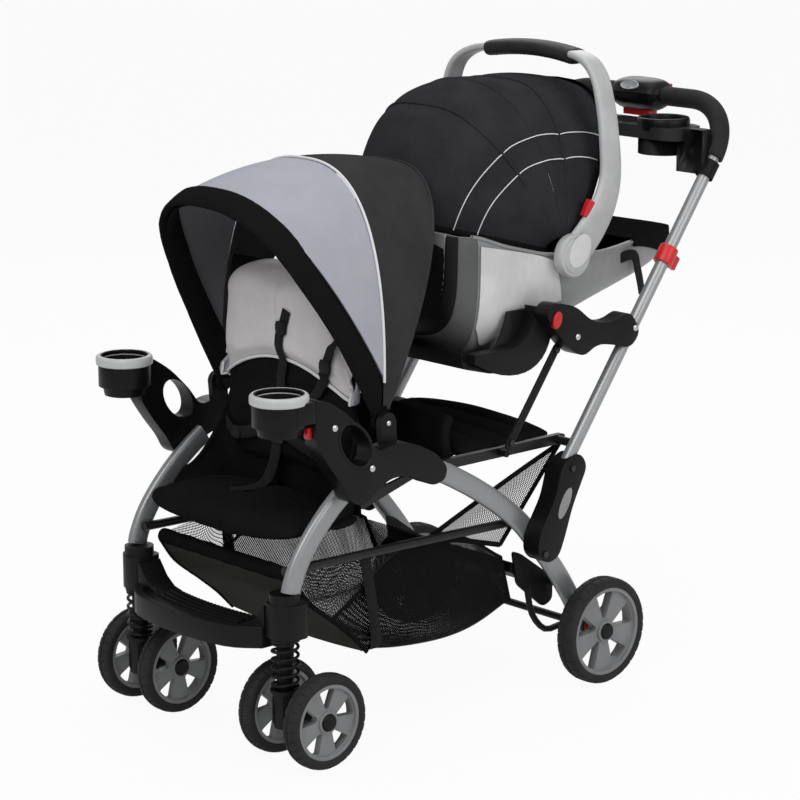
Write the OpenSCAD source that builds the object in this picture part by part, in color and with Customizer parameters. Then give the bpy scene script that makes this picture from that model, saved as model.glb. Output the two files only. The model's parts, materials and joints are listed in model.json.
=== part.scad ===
// Tandem stroller: a front seat under its own canopy, a rear bench with a docked infant
// carrier, a basket, sprung twin castors and an arched push handle.
// Millimetres. X across (near side +X), -Y to the front, Z up, origin on the floor.

/* [Wheels] */
// Radius of a rear wheel over its tyre
rear_wheel_r = 100; // [90:1:110]
// Width of a rear tyre
rear_wheel_w = 40; // [34:1:42]
// Radius of a front wheel over its tyre
front_wheel_r = 84; // [76:1:90]
// Width of a front tyre
front_wheel_w = 32; // [26:1:34]
// Thickness of the tyres at the tread
tyre_depth = 17; // [12:1:22]
// Number of spokes in a rim
spoke_count = 5; // [3:1:8]
// Radius of the wheel axles
axle_r = 7; // [5:0.5:9]
// Radius of the hub caps
hub_cap_r = 16; // [12:1:20]

/* [Stance] */
// Distance between the two rear wheels, centre to centre
rear_track = 510; // [500:1:530]
// Distance between the two castor swivels
castor_track = 402; // [390:1:410]
// Distance between the twin wheels of a castor
twin_pitch = 118; // [112:1:124]
// Rear axle behind the middle of the stroller
rear_axle_y = 196; // [180:1:215]
// Castor swivels ahead of the middle of the stroller
castor_ahead = 520; // [500:1:535]
// Distance that a castor axle trails behind its swivel
castor_trail = 36; // [28:1:42]

/* [Castors] */
// Radius of the swivel spindle
spindle_r = 8; // [6:0.5:10]
// Radius of the post that carries the spring
post_r = 15; // [12:0.5:16]
// Outer radius of the coil spring
spring_r = 25; // [23:0.5:27]
// Thickness of the spring wire
spring_wire = 5.6; // [4:0.2:6.4]
// Number of curls in the spring
spring_turns = 6; // [4:1:7]
// Height of the bottom of the castor housing
housing_z = 228; // [222:1:236]
// Height of the castor housing
housing_h = 76; // [66:1:84]
// Upward travel of the suspension
suspension_travel = 12; // [6:1:14]

/* [Frame] */
// Distance of the leg tubes from the middle
leg_x = 212; // [208:1:216]
// Thickness of a leg tube across the stroller
leg_w = 20; // [14:1:22]
// Depth of a leg tube in its own plane
leg_h = 38; // [30:1:42]
// Thickness of the moulded side pieces
side_w = 36; // [28:1:40]
// Radius of the push handle tube
tube_r = 12; // [10:0.5:13]
// Distance of the push handle tubes from the middle
tube_x = 245; // [242:1:250]
// Slope of the push handle above level
tube_slope = 53.7; // [50:0.1:56]
// Length of the push handle along its slope
tube_len = 772; // [740:1:790]
// Bend radius of the push handle corners
tube_bend = 115; // [80:1:140]
// Thickness of the foam on the push handle
foam_t = 6; // [4:0.5:8]

/* [Seats] */
// Half width of the front seat cushion
seat_half = 203.2; // [170:0.2:203.2]
// Thickness of the front seat cushion
seat_t = 34; // [24:1:40]
// Height of the front backrest
back_h = 395; // [350:1:420]
// Thickness of the front backrest
back_t = 34; // [24:1:40]
// Half width of the rear bench
bench_half = 189; // [160:1:189]
// Thickness of the rear bench
bench_t = 34; // [24:1:40]

/* [Cup holders] */
// Radius of a front cup bore
cup_r = 40; // [34:1:42]
// Wall of a cup holder
cup_wall = 6; // [4:0.5:8]
// Radius of a parent cup bore
tray_cup_r = 41; // [34:1:43]

/* [Canopies] */
// Thickness of the canopy cloth
cloth_t = 4; // [3:0.5:6]
// Half width of the front canopy
canopy_half = 222; // [214:1:222]
// Half width of the carrier canopy
hood_half = 190; // [180:1:194]

/* [Hidden] */
$fn = 48;
// Gap between pieces that touch on the real object
fit = 0.3;
// Radial clearance of a running fit
run = 0.05;
tiny = 0.01;

black = "#1d1d1f";
cloth_black = "#2a2a2d";
silver = "#8f9396";
grey = "#7d7f82";
pale = "#b9bcc2";
red = "#c8202b";

// Places that several pieces share
castor_y = -castor_ahead;
castor_x = castor_track / 2;
rear_wheel_x = rear_track / 2;
front_axle_y = castor_y + castor_trail;
housing_top = housing_z + housing_h;
leg_in = leg_x - leg_w / 2;
leg_out = leg_x + leg_w / 2;
side_in = leg_out + fit;
side_out = side_in + side_w;
tube_foot = [99, 420];
canopy_pivot = [-314, 570];
hood_pivot = [151, 801];
back_pivot = [-330, 430];
along = [cos(tube_slope), sin(tube_slope)];
// Point (y, z) on the push handle tube, a distance along it from its foot
function on_tube(s) = tube_foot + s * along;

function unit(v) = v / norm(v);

// Points of a smooth curve through the points p, n steps in each span
function curve(p, n) = concat([for (i = [0:len(p) - 2]) for (k = [0:n - 1])
  let (t = k / n, a = p[max(i - 1, 0)], b = p[i], c = p[i + 1], d = p[min(i + 2, len(p) - 1)])
  0.5 * (2 * b + (c - a) * t + (2 * a - 5 * b + 4 * c - d) * t * t + (3 * b - a - 3 * c + d) * t * t * t)],
  [p[len(p) - 1]]);

// Outline p with each corner rounded off over a length r
function soft(p, r, n = 4) = [for (i = [0:len(p) - 1])
  let (a = p[(i + len(p) - 1) % len(p)], b = p[i], c = p[(i + 1) % len(p)],
    d = min(r, 0.48 * norm(a - b), 0.48 * norm(c - b)), s = b + unit(a - b) * d, e = b + unit(c - b) * d)
  for (k = [0:n]) let (t = k / n) (1 - t) * (1 - t) * s + 2 * t * (1 - t) * b + t * t * e];

// Oval outline round c with half lengths a and b, its long axis turned by deg
function oval(c, a, b, deg = 0, n = 28) = [for (k = [0:n - 1]) let (u = a * cos(360 * k / n),
  v = b * sin(360 * k / n))
  c + [u * cos(deg) - v * sin(deg), u * sin(deg) + v * cos(deg)]];

// Points (y, z) placed on the plane at x
function at_x(p, x) = [for (q = p) [x, q[0], q[1]]];

// Signed power, for rounded sections
function bow(v, e) = sign(v) * pow(abs(v), e);

// Solid through a row of rings that have as many points each
module skin(rings) {
  m = len(rings[0]);
  last = (len(rings) - 1) * m;
  walls = [for (i = [0:len(rings) - 2]) for (k = [0:m - 1]) let (a = i * m + k, b = i * m + (k + 1) % m)
    each [[a, b + m, b], [a, a + m, b + m]]];
  caps = [for (k = [1:m - 2]) each [[0, k, k + 1], [last, last + k + 1, last + k]]];
  polyhedron(points = [for (r = rings) each r], faces = concat(walls, caps));
}

// Cloth through a row of rings that run out along one face and back along the other
module cloth_skin(rings) {
  m = len(rings[0]);
  n = m / 2 - 1;
  last = (len(rings) - 1) * m;
  walls = [for (i = [0:len(rings) - 2]) for (k = [0:m - 1]) let (a = i * m + k, b = i * m + (k + 1) % m)
    each k < n ? [[a, b + m, b], [a, a + m, b + m]] : [[a, a + m, b], [b, a + m, b + m]]];
  caps = [for (k = [0:n - 1]) let (c = m - 2 - k) each [[k, k + 1, c], [k, c, c + 1],
    [last + k, last + c, last + k + 1], [last + k, last + c + 1, last + c]]];
  polyhedron(points = [for (r = rings) each r], faces = concat(walls, caps));
}

// Tube along a path; the section is wide towards side and tall across it
module sweep(path, side, wide, tall, sides = 16) {
  n = len(path);
  skin([for (i = [0:n - 1])
    let (t = unit(path[min(i + 1, n - 1)] - path[max(i - 1, 0)]), s = unit(side - (side * t) * t),
      u = cross(t, s))
    [for (k = [0:sides - 1]) let (q = 360 * k / sides)
      path[i] + wide / 2 * cos(q) * s + tall / 2 * sin(q) * u]]);
}

// Plate with an outline in (y, z), from x0 to x1
module plate(outline, x0, x1) {
  translate([x0, 0, 0]) rotate([90, 0, 90]) linear_extrude(x1 - x0) polygon(outline);
}

// Round bar along X at the point q (y, z)
module bar_x(q, r, x0, x1) {
  translate([x0, q[0], q[1]]) rotate([0, 90, 0]) cylinder(r = r, h = x1 - x0);
}

// A piece on the near side and its mirror image on the far side
module both() {
  children();
  mirror([1, 0, 0]) children();
}

// The near piece when side is 1, its mirror image when side is -1
module on_side(side) {
  if (side > 0) children();
  else mirror([1, 0, 0]) children();
}

// Frame of the push handle: Y along the tubes, Z square to their plane
module in_handle() {
  translate([0, tube_foot[0], tube_foot[1]]) rotate([tube_slope, 0, 0]) children();
}

// Near tube of the push handle with a radius of its own, as a cutting tool or as half of the handle
module tube_half(r, from = 0) {
  in_handle() {
    translate([tube_x, from, 0]) rotate([-90, 0, 0]) cylinder(r = r, h = tube_len - tube_bend - from);
    translate([tube_x - tube_bend, tube_len - tube_bend, 0])
      rotate_extrude(angle = 90) translate([tube_bend, 0]) circle(r = r);
    translate([0, tube_len, 0]) rotate([0, 90, 0]) cylinder(r = r, h = tube_x - tube_bend);
  }
}

// Cushion along Y from y0 to y1 with a crown, drawn-in ends and cross channels
module cushion(half, y0, y1, t, crown, channels, steps = 16, sides = 20, nose = 0) {
  skin([for (i = [0:steps])
    let (v = i / steps, e = 0.35 + 0.65 * pow(1 - pow(abs(2 * v - 1), 4), 0.5),
      dent = channels == 0 ? 0 : 0.2 * pow(abs(cos(180 * v * (channels + 1))), 6) * (e - 0.35),
      w = half * (0.94 + 0.06 * e - nose * pow(1 - v, 8)), h = t / 2 * (e - dent))
    [for (k = [0:sides - 1]) let (a = -360 * k / sides, x = w * bow(cos(a), 0.45))
      [x, y0 + v * (y1 - y0), h * bow(sin(a), 0.7) + (sin(a) > 0 ? crown * (e - dent) * (1 - pow(x / w,
        2)) : 0)]]]);
}

// Spoked wheel about the X axis: a rim with wedge spokes inside a rounded tyre
module wheel(r, w) {
  rim_r = r - tyre_depth;
  band = 7;
  hub_r = hub_cap_r + 4;
  hub_w = w - 2 * (cap_t + fit);
  web_w = 0.45 * w;
  rotate([0, 90, 0]) {
    color(cloth_black) rotate_extrude()
      polygon(soft([[rim_r, -w / 2 + 2], [r - 7, -w / 2], [r, -w / 4], [r, w / 4], [r - 7, w / 2],
        [rim_r, w / 2 - 2]], 6));
    color(grey) {
      rotate_extrude() translate([rim_r - band, -w / 2 + 3]) square([band - fit / 2, w - 6]);
      difference() {
        union() {
          translate([0, 0, -hub_w / 2]) cylinder(r = hub_r, h = hub_w);
          translate([0, 0, -web_w / 2]) cylinder(r = rim_r - band + 1, h = web_w);
        }
        translate([0, 0, -w]) cylinder(r = axle_r + run, h = 2 * w);
        for (i = [0:spoke_count - 1]) rotate(360 * (i + 0.5) / spoke_count) translate([0, 0, -w])
          linear_extrude(2 * w) wheel_gap(hub_r + 3, rim_r - band - 1);
      }
    }
  }
}

// Opening between two spokes, narrow at the hub
module wheel_gap(r0, r1) {
  half = 0.28 * 180 / spoke_count;
  polygon(soft([[r0, -r0 * sin(half) * 0.8], [r1 * cos(half * 1.7), -r1 * sin(half * 1.7)], [r1, 0],
    [r1 * cos(half * 1.7), r1 * sin(half * 1.7)], [r0, r0 * sin(half) * 0.8]], 5));
}

module front_wheel(side, twin) {
  on_side(side) translate([castor_x + twin * twin_pitch / 2, front_axle_y, front_wheel_r])
    wheel(front_wheel_r, front_wheel_w);
}
module rear_wheel(side) {
  on_side(side) translate([rear_wheel_x, rear_axle_y, rear_wheel_r]) wheel(rear_wheel_r, rear_wheel_w);
}

cap_t = 4.5;
// Axle along X with a domed cap at each end, from x0 to x1 over the caps
module capped_axle(q, x0, x1, caps) {
  bar_x(q, axle_r, x0 + cap_t, x1 - cap_t);
  for (end = caps) translate([end > 0 ? x1 - cap_t - tiny : x0 + cap_t + tiny, q[0], q[1]])
    rotate([0, 90 * end, 0]) cylinder(r1 = hub_cap_r, r2 = hub_cap_r - 2.5, h = cap_t + tiny);
}

// Castor: spindle and spring post, coil spring, sliding fork and twin-wheel axle
spring_low = front_wheel_r + 52;
collar_t = 7;
fork_bore = post_r + run;
module castor_post(side) {
  color(black) on_side(side) translate([castor_x, castor_y, 0]) {
    translate([0, 0, housing_z - fit - collar_t]) cylinder(r = spring_r + 1, h = collar_t);
    translate([0, 0, housing_z - fit - tiny]) cylinder(r = spindle_r, h = housing_h - 14);
    translate([0, 0, front_wheel_r + 26]) cylinder(r = post_r, h = housing_z - front_wheel_r - 32);
  }
}

// Centre line of the coil, eight points to a curl
coil_r = spring_r - spring_wire / 2;
coil_low = spring_low + spring_wire / 2 + fit;
coil_high = housing_z - fit - collar_t - spring_wire / 2 - fit;
function coil(i) = let (v = i / (8 * spring_turns))
  [coil_r * cos(45 * i), coil_r * sin(45 * i), coil_low + v * (coil_high - coil_low)];
coil_gap = min([for (i = [0:8 * (spring_turns - 1)]) norm(coil(i + 8) - coil(i)) - spring_wire]);
echo("least gap of the coil spring to itself", coil_gap);
module castor_spring(side) {
  color(black) on_side(side) translate([castor_x, castor_y, 0])
    sweep([for (i = [0:8 * spring_turns]) coil(i)], [0, 0, 1], spring_wire, spring_wire, 6);
}

fork_half = twin_pitch / 2 - front_wheel_w / 2 + cap_t;
module castor_fork(side) {
  color(black) on_side(side) translate([castor_x, castor_y, 0]) difference() {
    union() {
      translate([0, 0, spring_low - 6]) cylinder(r = spring_r + 1, h = 6);
      translate([0, 0, front_wheel_r - 16]) cylinder(r = post_r + 5, h = spring_low - front_wheel_r + 12);
      plate(soft([[-18, front_wheel_r - 14], [castor_trail + 10, front_wheel_r - 15],
        [castor_trail + 15, front_wheel_r + 4],
        [castor_trail, front_wheel_r + 18], [12, spring_low - 8], [-18, spring_low - 8]], 10), -14, 14);
      bar_x([castor_trail, front_wheel_r], axle_r + 7, -fork_half, fork_half);
    }
    translate([0, 0, front_wheel_r + 10]) cylinder(r = fork_bore, h = spring_low);
    bar_x([castor_trail, front_wheel_r], axle_r, -twin_pitch, twin_pitch);
  }
}
module castor_axle(side) {
  reach = twin_pitch / 2 + front_wheel_w / 2;
  color(black) on_side(side) translate([castor_x, 0, 0])
    capped_axle([front_axle_y, front_wheel_r], -reach, reach, [-1, 1]);
}

// Moulded boot at the foot of each front leg
boot_r = 26;
module castor_housings() {
  color(black) both() difference() {
    union() {
      translate([castor_x, castor_y, housing_z]) cylinder(r = boot_r, h = housing_h);
      translate([0, 0, housing_z]) linear_extrude(housing_h - 16) polygon(soft([[castor_x - boot_r,
        castor_y - 26],
        [castor_x + 8, castor_y - 30], [castor_x + 34, castor_y - 12], [castor_x + 34, castor_y + 22],
        [castor_x + 22, castor_y + 32], [castor_x - boot_r, castor_y + 30]], 14));
    }
    translate([castor_x, castor_y, housing_z - 1]) cylinder(r = spindle_r + run, h = housing_h - 10);
  }
}

// Frame legs of flat oval tube
front_leg_path = [[-362, 482], [-392, 462], [-430, 432], [-467, 394], [-494, 358], [-510, 325],
  [castor_y + 4, housing_top + fit]];
rear_leg_path = [[-238, 478], [-200, 468], [-155, 449], [-87, 411], [-27, 371], [25, 329], [63, 287],
  [102, 241],
  [136, 196], [170, 143], [rear_axle_y, rear_wheel_r]];
module leg(path) {
  sweep(at_x(curve(path, 2), leg_x), [1, 0, 0], leg_w, leg_h);
}
module front_legs() {
  color(silver) both() intersection() {
    leg(concat(front_leg_path, [[castor_y + 2, housing_top - 30]]));
    translate([0, -700, housing_top + fit]) cube([400, 700, 400]);
  }
}
module rear_legs() {
  color(silver) both() difference() {
    union() {
      leg(rear_leg_path);
      bar_x([rear_axle_y, rear_wheel_r], leg_h / 2 + 2, leg_in - 2, leg_out + 1);
    }
    bar_x([rear_axle_y, rear_wheel_r], axle_r + fit, 0, 400);
  }
}

// Rear axle with the hub caps that hold the wheels on
module rear_axle() {
  reach = rear_wheel_x + rear_wheel_w / 2;
  color(black) capped_axle([rear_axle_y, rear_wheel_r], -reach, reach, [-1, 1]);
}

// Foot lever of the parking brake, turning on the axle inside the wheel
lever_t = 8;
lever_x = rear_wheel_x - rear_wheel_w / 2 - 1 - lever_t;
module brake_lever(side) {
  color(red) on_side(side) difference() {
    union() {
      bar_x([rear_axle_y, rear_wheel_r], axle_r + 8, lever_x, lever_x + lever_t);
      plate(soft([[rear_axle_y - 10, rear_wheel_r + 4], [rear_axle_y + 12, rear_wheel_r - 8],
        [rear_axle_y + 58, rear_wheel_r + 26],
        [rear_axle_y + 62, rear_wheel_r + 42], [rear_axle_y + 46, rear_wheel_r + 44]], 8), lever_x,
          lever_x + lever_t);
    }
    bar_x([rear_axle_y, rear_wheel_r], axle_r + run, 0, 400);
  }
}

// Moulded armrest that joins the two legs of a side and carries a cup holder
cup_y = -536;
arm_front = cup_y + 39;
arm_outline = [[arm_front, 640], [-470, 636], [-425, 607], [-380, 562], [-359, 530], [-322, 540],
  [-275, 533], [-223, 506],
  [-197, 478], [-203, 456], [-232, 450], [-286, 480], [-335, 480], [-368, 458], [-388, 443], [-420,
    452], [-434, 481],
  [-465, 520], [arm_front, 567]];
cup_x = castor_x + 10;
cup_z = 597;
cup_h = 54;
paddle = [12, 14, 20];
paddle_z = 584;
cup_block_z = cup_z + 6;
paddle_x = side_in + side_w / 2;
module armrests() {
  color(black) both() difference() {
    plate(soft(arm_outline, 22), side_in, side_out);
    plate(oval([-409, 551], 43, 26, -52), 0, 400);
    translate([cup_x, cup_y, cup_z - 40]) cylinder(r = cup_out + fit, h = 100);
    translate([paddle_x - paddle[0] / 2 - fit, arm_front - 1, paddle_z - paddle[2] / 2 - fit])
      cube([paddle[0] + 2 * fit, paddle[1] + 1, paddle[2] + 2 * fit]);
  }
}

// Front cup holders with pale rings, fixed to the front of the armrests
cup_out = cup_r + cup_wall;
module cup_holders() {
  both() {
    color(black) difference() {
      union() {
        translate([cup_x, cup_y, cup_z]) cylinder(r = cup_out, h = cup_h - 8);
        translate([cup_x, cup_y, cup_z - 16]) cylinder(r1 = cup_out - 10, r2 = cup_out - 7, h = 16 + tiny);
        translate([side_in - 6, cup_y, cup_block_z]) cube([side_w + 6, arm_front - cup_y - fit,
          cup_h - 18]);
      }
      translate([cup_x, cup_y, cup_z - 10]) cylinder(r = cup_r - 8, h = cup_h);
      translate([cup_x, cup_y, cup_z + 2]) cylinder(r = cup_r, h = cup_h);
    }
    color(pale) translate([cup_x, cup_y, cup_z + cup_h - 8]) rotate_extrude()
      polygon(soft([[cup_r, 0], [cup_out + 1, 0], [cup_out + 2, 5], [cup_out - 2, 9], [cup_r, 9]], 3));
  }
}

// Release paddle under a cup holder, pushed back into the armrest
module cup_button(side) {
  color(red) on_side(side) translate([paddle_x - paddle[0] / 2, arm_front - 7, paddle_z - paddle[2] / 2])
    cube([paddle[0], paddle[1], paddle[2]]);
}

// Moulded footrest between the castor housings, with a raised lip and curved ribs
step_x = castor_x - boot_r - fit;
step_front = -602;
step_z = 206;
step_h = 38;
step_plan = concat([[-step_x, -490], [-step_x, castor_y - 26]],
  curve([[-step_x, castor_y - 28], [-120, step_front + 14], [0, step_front], [120, step_front + 14],
    [step_x, castor_y - 28]], 4),
  [[step_x, castor_y - 26], [step_x, -490], [150, -492], [90, -506], [0, -512], [-90, -506], [-150, -492]]);
module cheek(share) {
  top = step_h - 9 + (housing_top - 24 - step_z - step_h + 9) * pow(share, 2.2);
  translate([step_x - 3 - 62 * (1 - share), castor_y - 24, step_z + 10]) cube([3, 48, top - 10]);
}
module footrest() {
  lip = 12;
  color(black) {
    difference() {
      translate([0, 0, step_z]) linear_extrude(step_h) polygon(step_plan);
      translate([0, lip, step_z + step_h - 9]) linear_extrude(10)
        polygon([for (p = step_plan) [p[0] * 0.93, p[1]]]);
      translate([0, lip + 2, step_z - 1]) linear_extrude(step_h - 18)
        polygon([for (p = step_plan) [p[0] * 0.9, min(p[1], -530)]]);
    }
    // Cheeks that sweep up to the castor housings
    both() for (rise = [0:2]) hull() {
      cheek(rise / 3);
      cheek((rise + 1) / 3);
    }
    for (i = [0:3]) translate([0, -560 + 13 * i, step_z + step_h - 9 - tiny]) linear_extrude(5)
      polygon(concat([for (u = [-1:0.25:1]) [110 * u, 10 * u * u]],
        [for (u = [1:-0.25:-1]) [110 * u, 10 * u * u + 5]]));
  }
}

// Rails of the bench and of the basket, and the rod that the backrest turns on
rail_out = leg_in - fit;
rail_w = 12;
basket_rail_r = 8;
basket_rail_x = leg_in - fit - basket_rail_r;
rail_z = 463;
rail_end = 150;
rod_r = 6;
module frame_rails() {
  joint_s = (rail_z - tube_foot[1]) / along[1];
  color(black) {
    both() {
      plate(soft([[-226, rail_z - 9], [-226, rail_z + 9], [rail_end, rail_z + 9], [rail_end,
        rail_z - 9]], 8), rail_out - rail_w, rail_out);
      bar_x(on_tube(joint_s), 8, rail_out - tiny, tube_x - tube_r - fit);
      sweep(at_x([[-514, 338], [-250, 333], [36, 326]], basket_rail_x), [1, 0, 0], 2 * basket_rail_r,
        2 * basket_rail_r, 16);
      plate(soft([[back_pivot[0] - 14, back_pivot[1] - 16], [back_pivot[0] - 14, back_pivot[1] + 10],
        [back_pivot[0] + 12, back_pivot[1] + 12], [-206, rail_z + 2], [-206, rail_z - 9]], 8),
          rail_out - rail_w, rail_out - 5);
    }
    bar_x(back_pivot, rod_r, -rail_out + rail_w - tiny, rail_out - rail_w + tiny);
  }
}

// Seat cushion of the front seat, bulging at its front edge
seat_z = 398;
seat_front = -540;
seat_rear = back_pivot[0] - 13;
module front_seat_pad() {
  color(cloth_black) translate([0, 0, seat_z])
    cushion(seat_half, seat_front, seat_rear, seat_t, 10, 2, nose = 0.45);
}

// Bench of the rear seat with its folded backrest in front
bench_z = 470;
bench_front = -92;
bench_rear = 134;
flap_t = 26;
flap_y = bench_front - flap_t / 2 + 0.8;
module rear_bench_pad() {
  color(cloth_black) {
    translate([0, 0, bench_z]) cushion(bench_half, bench_front, bench_rear, bench_t, 8, 3);
    translate([0, flap_y, bench_z + 28]) rotate([90, 0, 0])
      cushion(bench_half - 8, -30, 36, flap_t, 0, 0, 8, 16);
  }
}

// Red latch that frees the folded bench back
latch = [30, 10, 14];
module bench_latch() {
  color(red) translate([bench_half - 60, flap_y - 0.46 * flap_t - latch[1] - fit,
    bench_z + 22]) cube(latch);
}

// Cloth basket under both seats: sloping front, open top
basket_half = basket_rail_x - basket_rail_r - fit;
basket_side = [[-480, 340], [-322, 157], [34, 157], [20, 330]];
basket_in = [[-478, 345], [-319, 161], [30, 161], [15, 345]];
front_bar_q = [-478, 318];
module basket() {
  color(cloth_black) {
    difference() {
      plate(soft(basket_side, 14), -basket_half, basket_half);
      plate(basket_in, -basket_half + cloth_t, basket_half - cloth_t);
    }
    bar_x(front_bar_q, 13, -basket_half, basket_half);
  }
}

// Ribbed standing platform over the rear axle and the bars that hold it
platform_half = 168;
platform_line = [[48, 240], [172, 186]];
module standing_platform() {
  deck = 16;
  ribs = 9;
  color(black) difference() {
    plate(soft([platform_line[0], platform_line[1], platform_line[1] - [4, deck], [100, 190],
      platform_line[0] - [2, deck + 4]], 6),
      -platform_half, platform_half);
    for (i = [0:ribs - 1]) let (v = (i + 0.5) / ribs,
      p = platform_line[0] + v * (platform_line[1] - platform_line[0]))
      translate([0, p[0], p[1]]) rotate([-23.5, 0, 0]) translate([-platform_half + 14, -2,
        -3]) cube([2 * platform_half - 28, 4, 8]);
  }
}
strut_t = 6;
module platform_struts() {
  color(black) both() {
    plate(soft([[46, 262], [66, 254], [150, 194], [150, 150], [126, 140], [58, 196]], 10),
      platform_half + fit, platform_half + fit + strut_t);
    bar_x([134, 190], 6, platform_half + fit + strut_t - tiny, leg_in - fit);
    sweep(at_x(curve([[84, 186], [98, 132], [132, 96], [172, 96]], 3), platform_half + 5), [1, 0, 0],
      12, 12, 12);
  }
}

// Squareness of the canopy arches: 1 is an ellipse, less is squarer
arch_e = 0.76;
// Point of a canopy arch at the angle phi above the front, t degrees along the arch
function arch(pivot, half, r, phi, t) = let (d = r * bow(sin(t), arch_e))
  [half * bow(cos(t), arch_e), pivot[0] - d * cos(phi), pivot[1] + d * sin(phi)];
// Angle along an arch at which it is a distance d from the pivot
function arch_start(r, d) = asin(pow(d / r, 1 / arch_e));
// Closed section of a cloth arch with a thickness t_in
function arch_ring(pivot, half, r, phi, t_in, d, n) = let (t0 = arch_start(r, d), dt = (180 - 2 * t0) / n)
  concat([for (k = [n:-1:0]) arch(pivot, half, r, phi, t0 + k * dt)],
    [for (k = [0:n]) arch(pivot, half - t_in, r - t_in, phi, t0 + k * dt)]);
// Cloth over a row of bows [angle, radius, half width], drawn in by sag between them
module cloth_panel(pivot, bows, sag, d, steps = 4, n = 20) {
  spans = len(bows) - 1;
  cloth_skin([for (i = [0:spans * steps])
    let (j = min(floor(i / steps), spans - 1), v = i / steps - j,
      at = bows[j] + v * (bows[j + 1] - bows[j]))
    arch_ring(pivot, at[2], at[1] - sag * sin(180 * v), at[0], cloth_t, d, n)]);
}
// Flat bow along an arch, a width and a thickness, from a distance d off the pivot
module bow_bar(pivot, half, r, phi, width, t_in, d, n = 24) {
  t0 = arch_start(r, d);
  sweep([for (k = [0:n]) arch(pivot, half - t_in / 2, r - t_in / 2, phi, t0 + k * (180 - 2 * t0) / n)],
    [0, sin(phi), cos(phi)], width, t_in, 12);
}
// Pair of eyes round a pivot pin, from x0 to x1 on each side
module eyes(pivot, r, bore, x0, x1) {
  both() difference() {
    bar_x(pivot, r, x0, x1);
    bar_x(pivot, bore, 0, 400);
  }
}

// Hubs of the front canopy on the armrests, with the pins that the bow turns on
hub_r = 18;
pin_r = 5;
hub_t = 12;
module canopy_hubs() {
  color(black) both() {
    difference() {
      union() {
        bar_x(canopy_pivot, hub_r, canopy_half + fit, side_in + hub_t);
        plate([canopy_pivot + [-hub_r, 0], canopy_pivot + [-14, -44], canopy_pivot + [20, -44],
          canopy_pivot + [hub_r, 0]],
          canopy_half + fit, side_in + hub_t);
      }
      plate(soft(arm_outline, 22), side_in, side_out);
    }
    bar_x(canopy_pivot, pin_r, bow_in - 3, canopy_half + fit + tiny);
    bar_x(canopy_pivot, pin_r + 4, bow_in - 6, bow_in - fit);
  }
}

// Front canopy: bow inside the cloth, sloping front cloth and fixed rear cloth
bow_t = 7;
bow_width = 20;
bow_gap = 3.5;
bow_out = canopy_half - cloth_t - bow_gap;
bow_in = bow_out - bow_t - 1;
front_phi = 59;
bow_phi = 62;
mid_phi = 92;
rear_phi = 118;
front_r = 432;
mid_r = 426;
rear_r = 458;
cloth_from = 12;
cloth_sag = 5;
module canopy_front_bow() {
  color(cloth_black) {
    eyes(canopy_pivot, hub_r - 2, pin_r + run, bow_in, bow_out);
    bow_bar(canopy_pivot, bow_out - 0.5, front_r - cloth_t - bow_gap - 1.5, bow_phi, bow_width, bow_t,
      hub_r - 6);
  }
}
module canopy_front_panel() {
  color(pale) cloth_panel(canopy_pivot,
    [[front_phi, front_r, canopy_half], [mid_phi - 0.3, mid_r, canopy_half]], 2, cloth_from, 7);
}
module canopy_rear_panel() {
  color(cloth_black) cloth_panel(canopy_pivot,
    [[mid_phi, mid_r, canopy_half], [rear_phi, rear_r, canopy_half]], cloth_sag, cloth_from, 5);
}

// Push handle: bent tube, foam sleeves, console, fold trigger and lock
module push_tube() {
  color(silver) both() tube_half(tube_r);
}
console_half = 62;
console_body = 54;
module handle_foam() {
  color(cloth_black) both() in_handle() {
    translate([tube_x - tube_bend, tube_len - tube_bend,
      0]) rotate_extrude(angle = 90) translate([tube_bend, 0])
      difference() {
        circle(r = tube_r + fit + foam_t);
        circle(r = tube_r + fit);
      }
    translate([console_half + fit, tube_len, 0]) rotate([0, 90, 0]) difference() {
      cylinder(r = tube_r + fit + foam_t, h = tube_x - tube_bend - console_half - fit);
      translate([0, 0, -1]) cylinder(r = tube_r + fit, h = tube_x);
    }
  }
}
console_q = on_tube(tube_len);
trigger = [68, 24, 18];
trigger_travel = 6;
lock = [24, 16, 14];
lock_travel = 12;
lock_x = 14;
module console_slot(size, grow, q) {
  translate([q[0] - grow, q[1] - grow, q[2] - grow]) cube(size + [2 * grow, 2 * grow, 2 * grow]);
}
trigger_q = [-trigger[0] / 2, console_q[0] - 16, console_q[1] - 41];
lock_q = [lock_x, console_q[0] + 30, console_q[1] + 4];
module handle_console() {
  outline = [[-42, 8], [-24, 28], [18, 31], [42, 12], [36, -20], [-4, -34], [-36, -17]];
  color(black) difference() {
    union() {
      plate(soft([for (p = outline) console_q + p], 16), -console_body, console_body);
      bar_x(console_q, tube_r + foam_t + 3, -console_half, console_half);
    }
    bar_x(console_q, tube_r + fit, -200, 200);
    console_slot(trigger + [0, 0, trigger_travel + 2], fit, trigger_q);
    console_slot(lock + [lock_travel, 20, 0], fit, lock_q);
  }
}
module fold_trigger() {
  color(red) console_slot(trigger, 0, trigger_q);
}
module fold_lock() {
  color(red) console_slot(lock, 0, lock_q);
}

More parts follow.
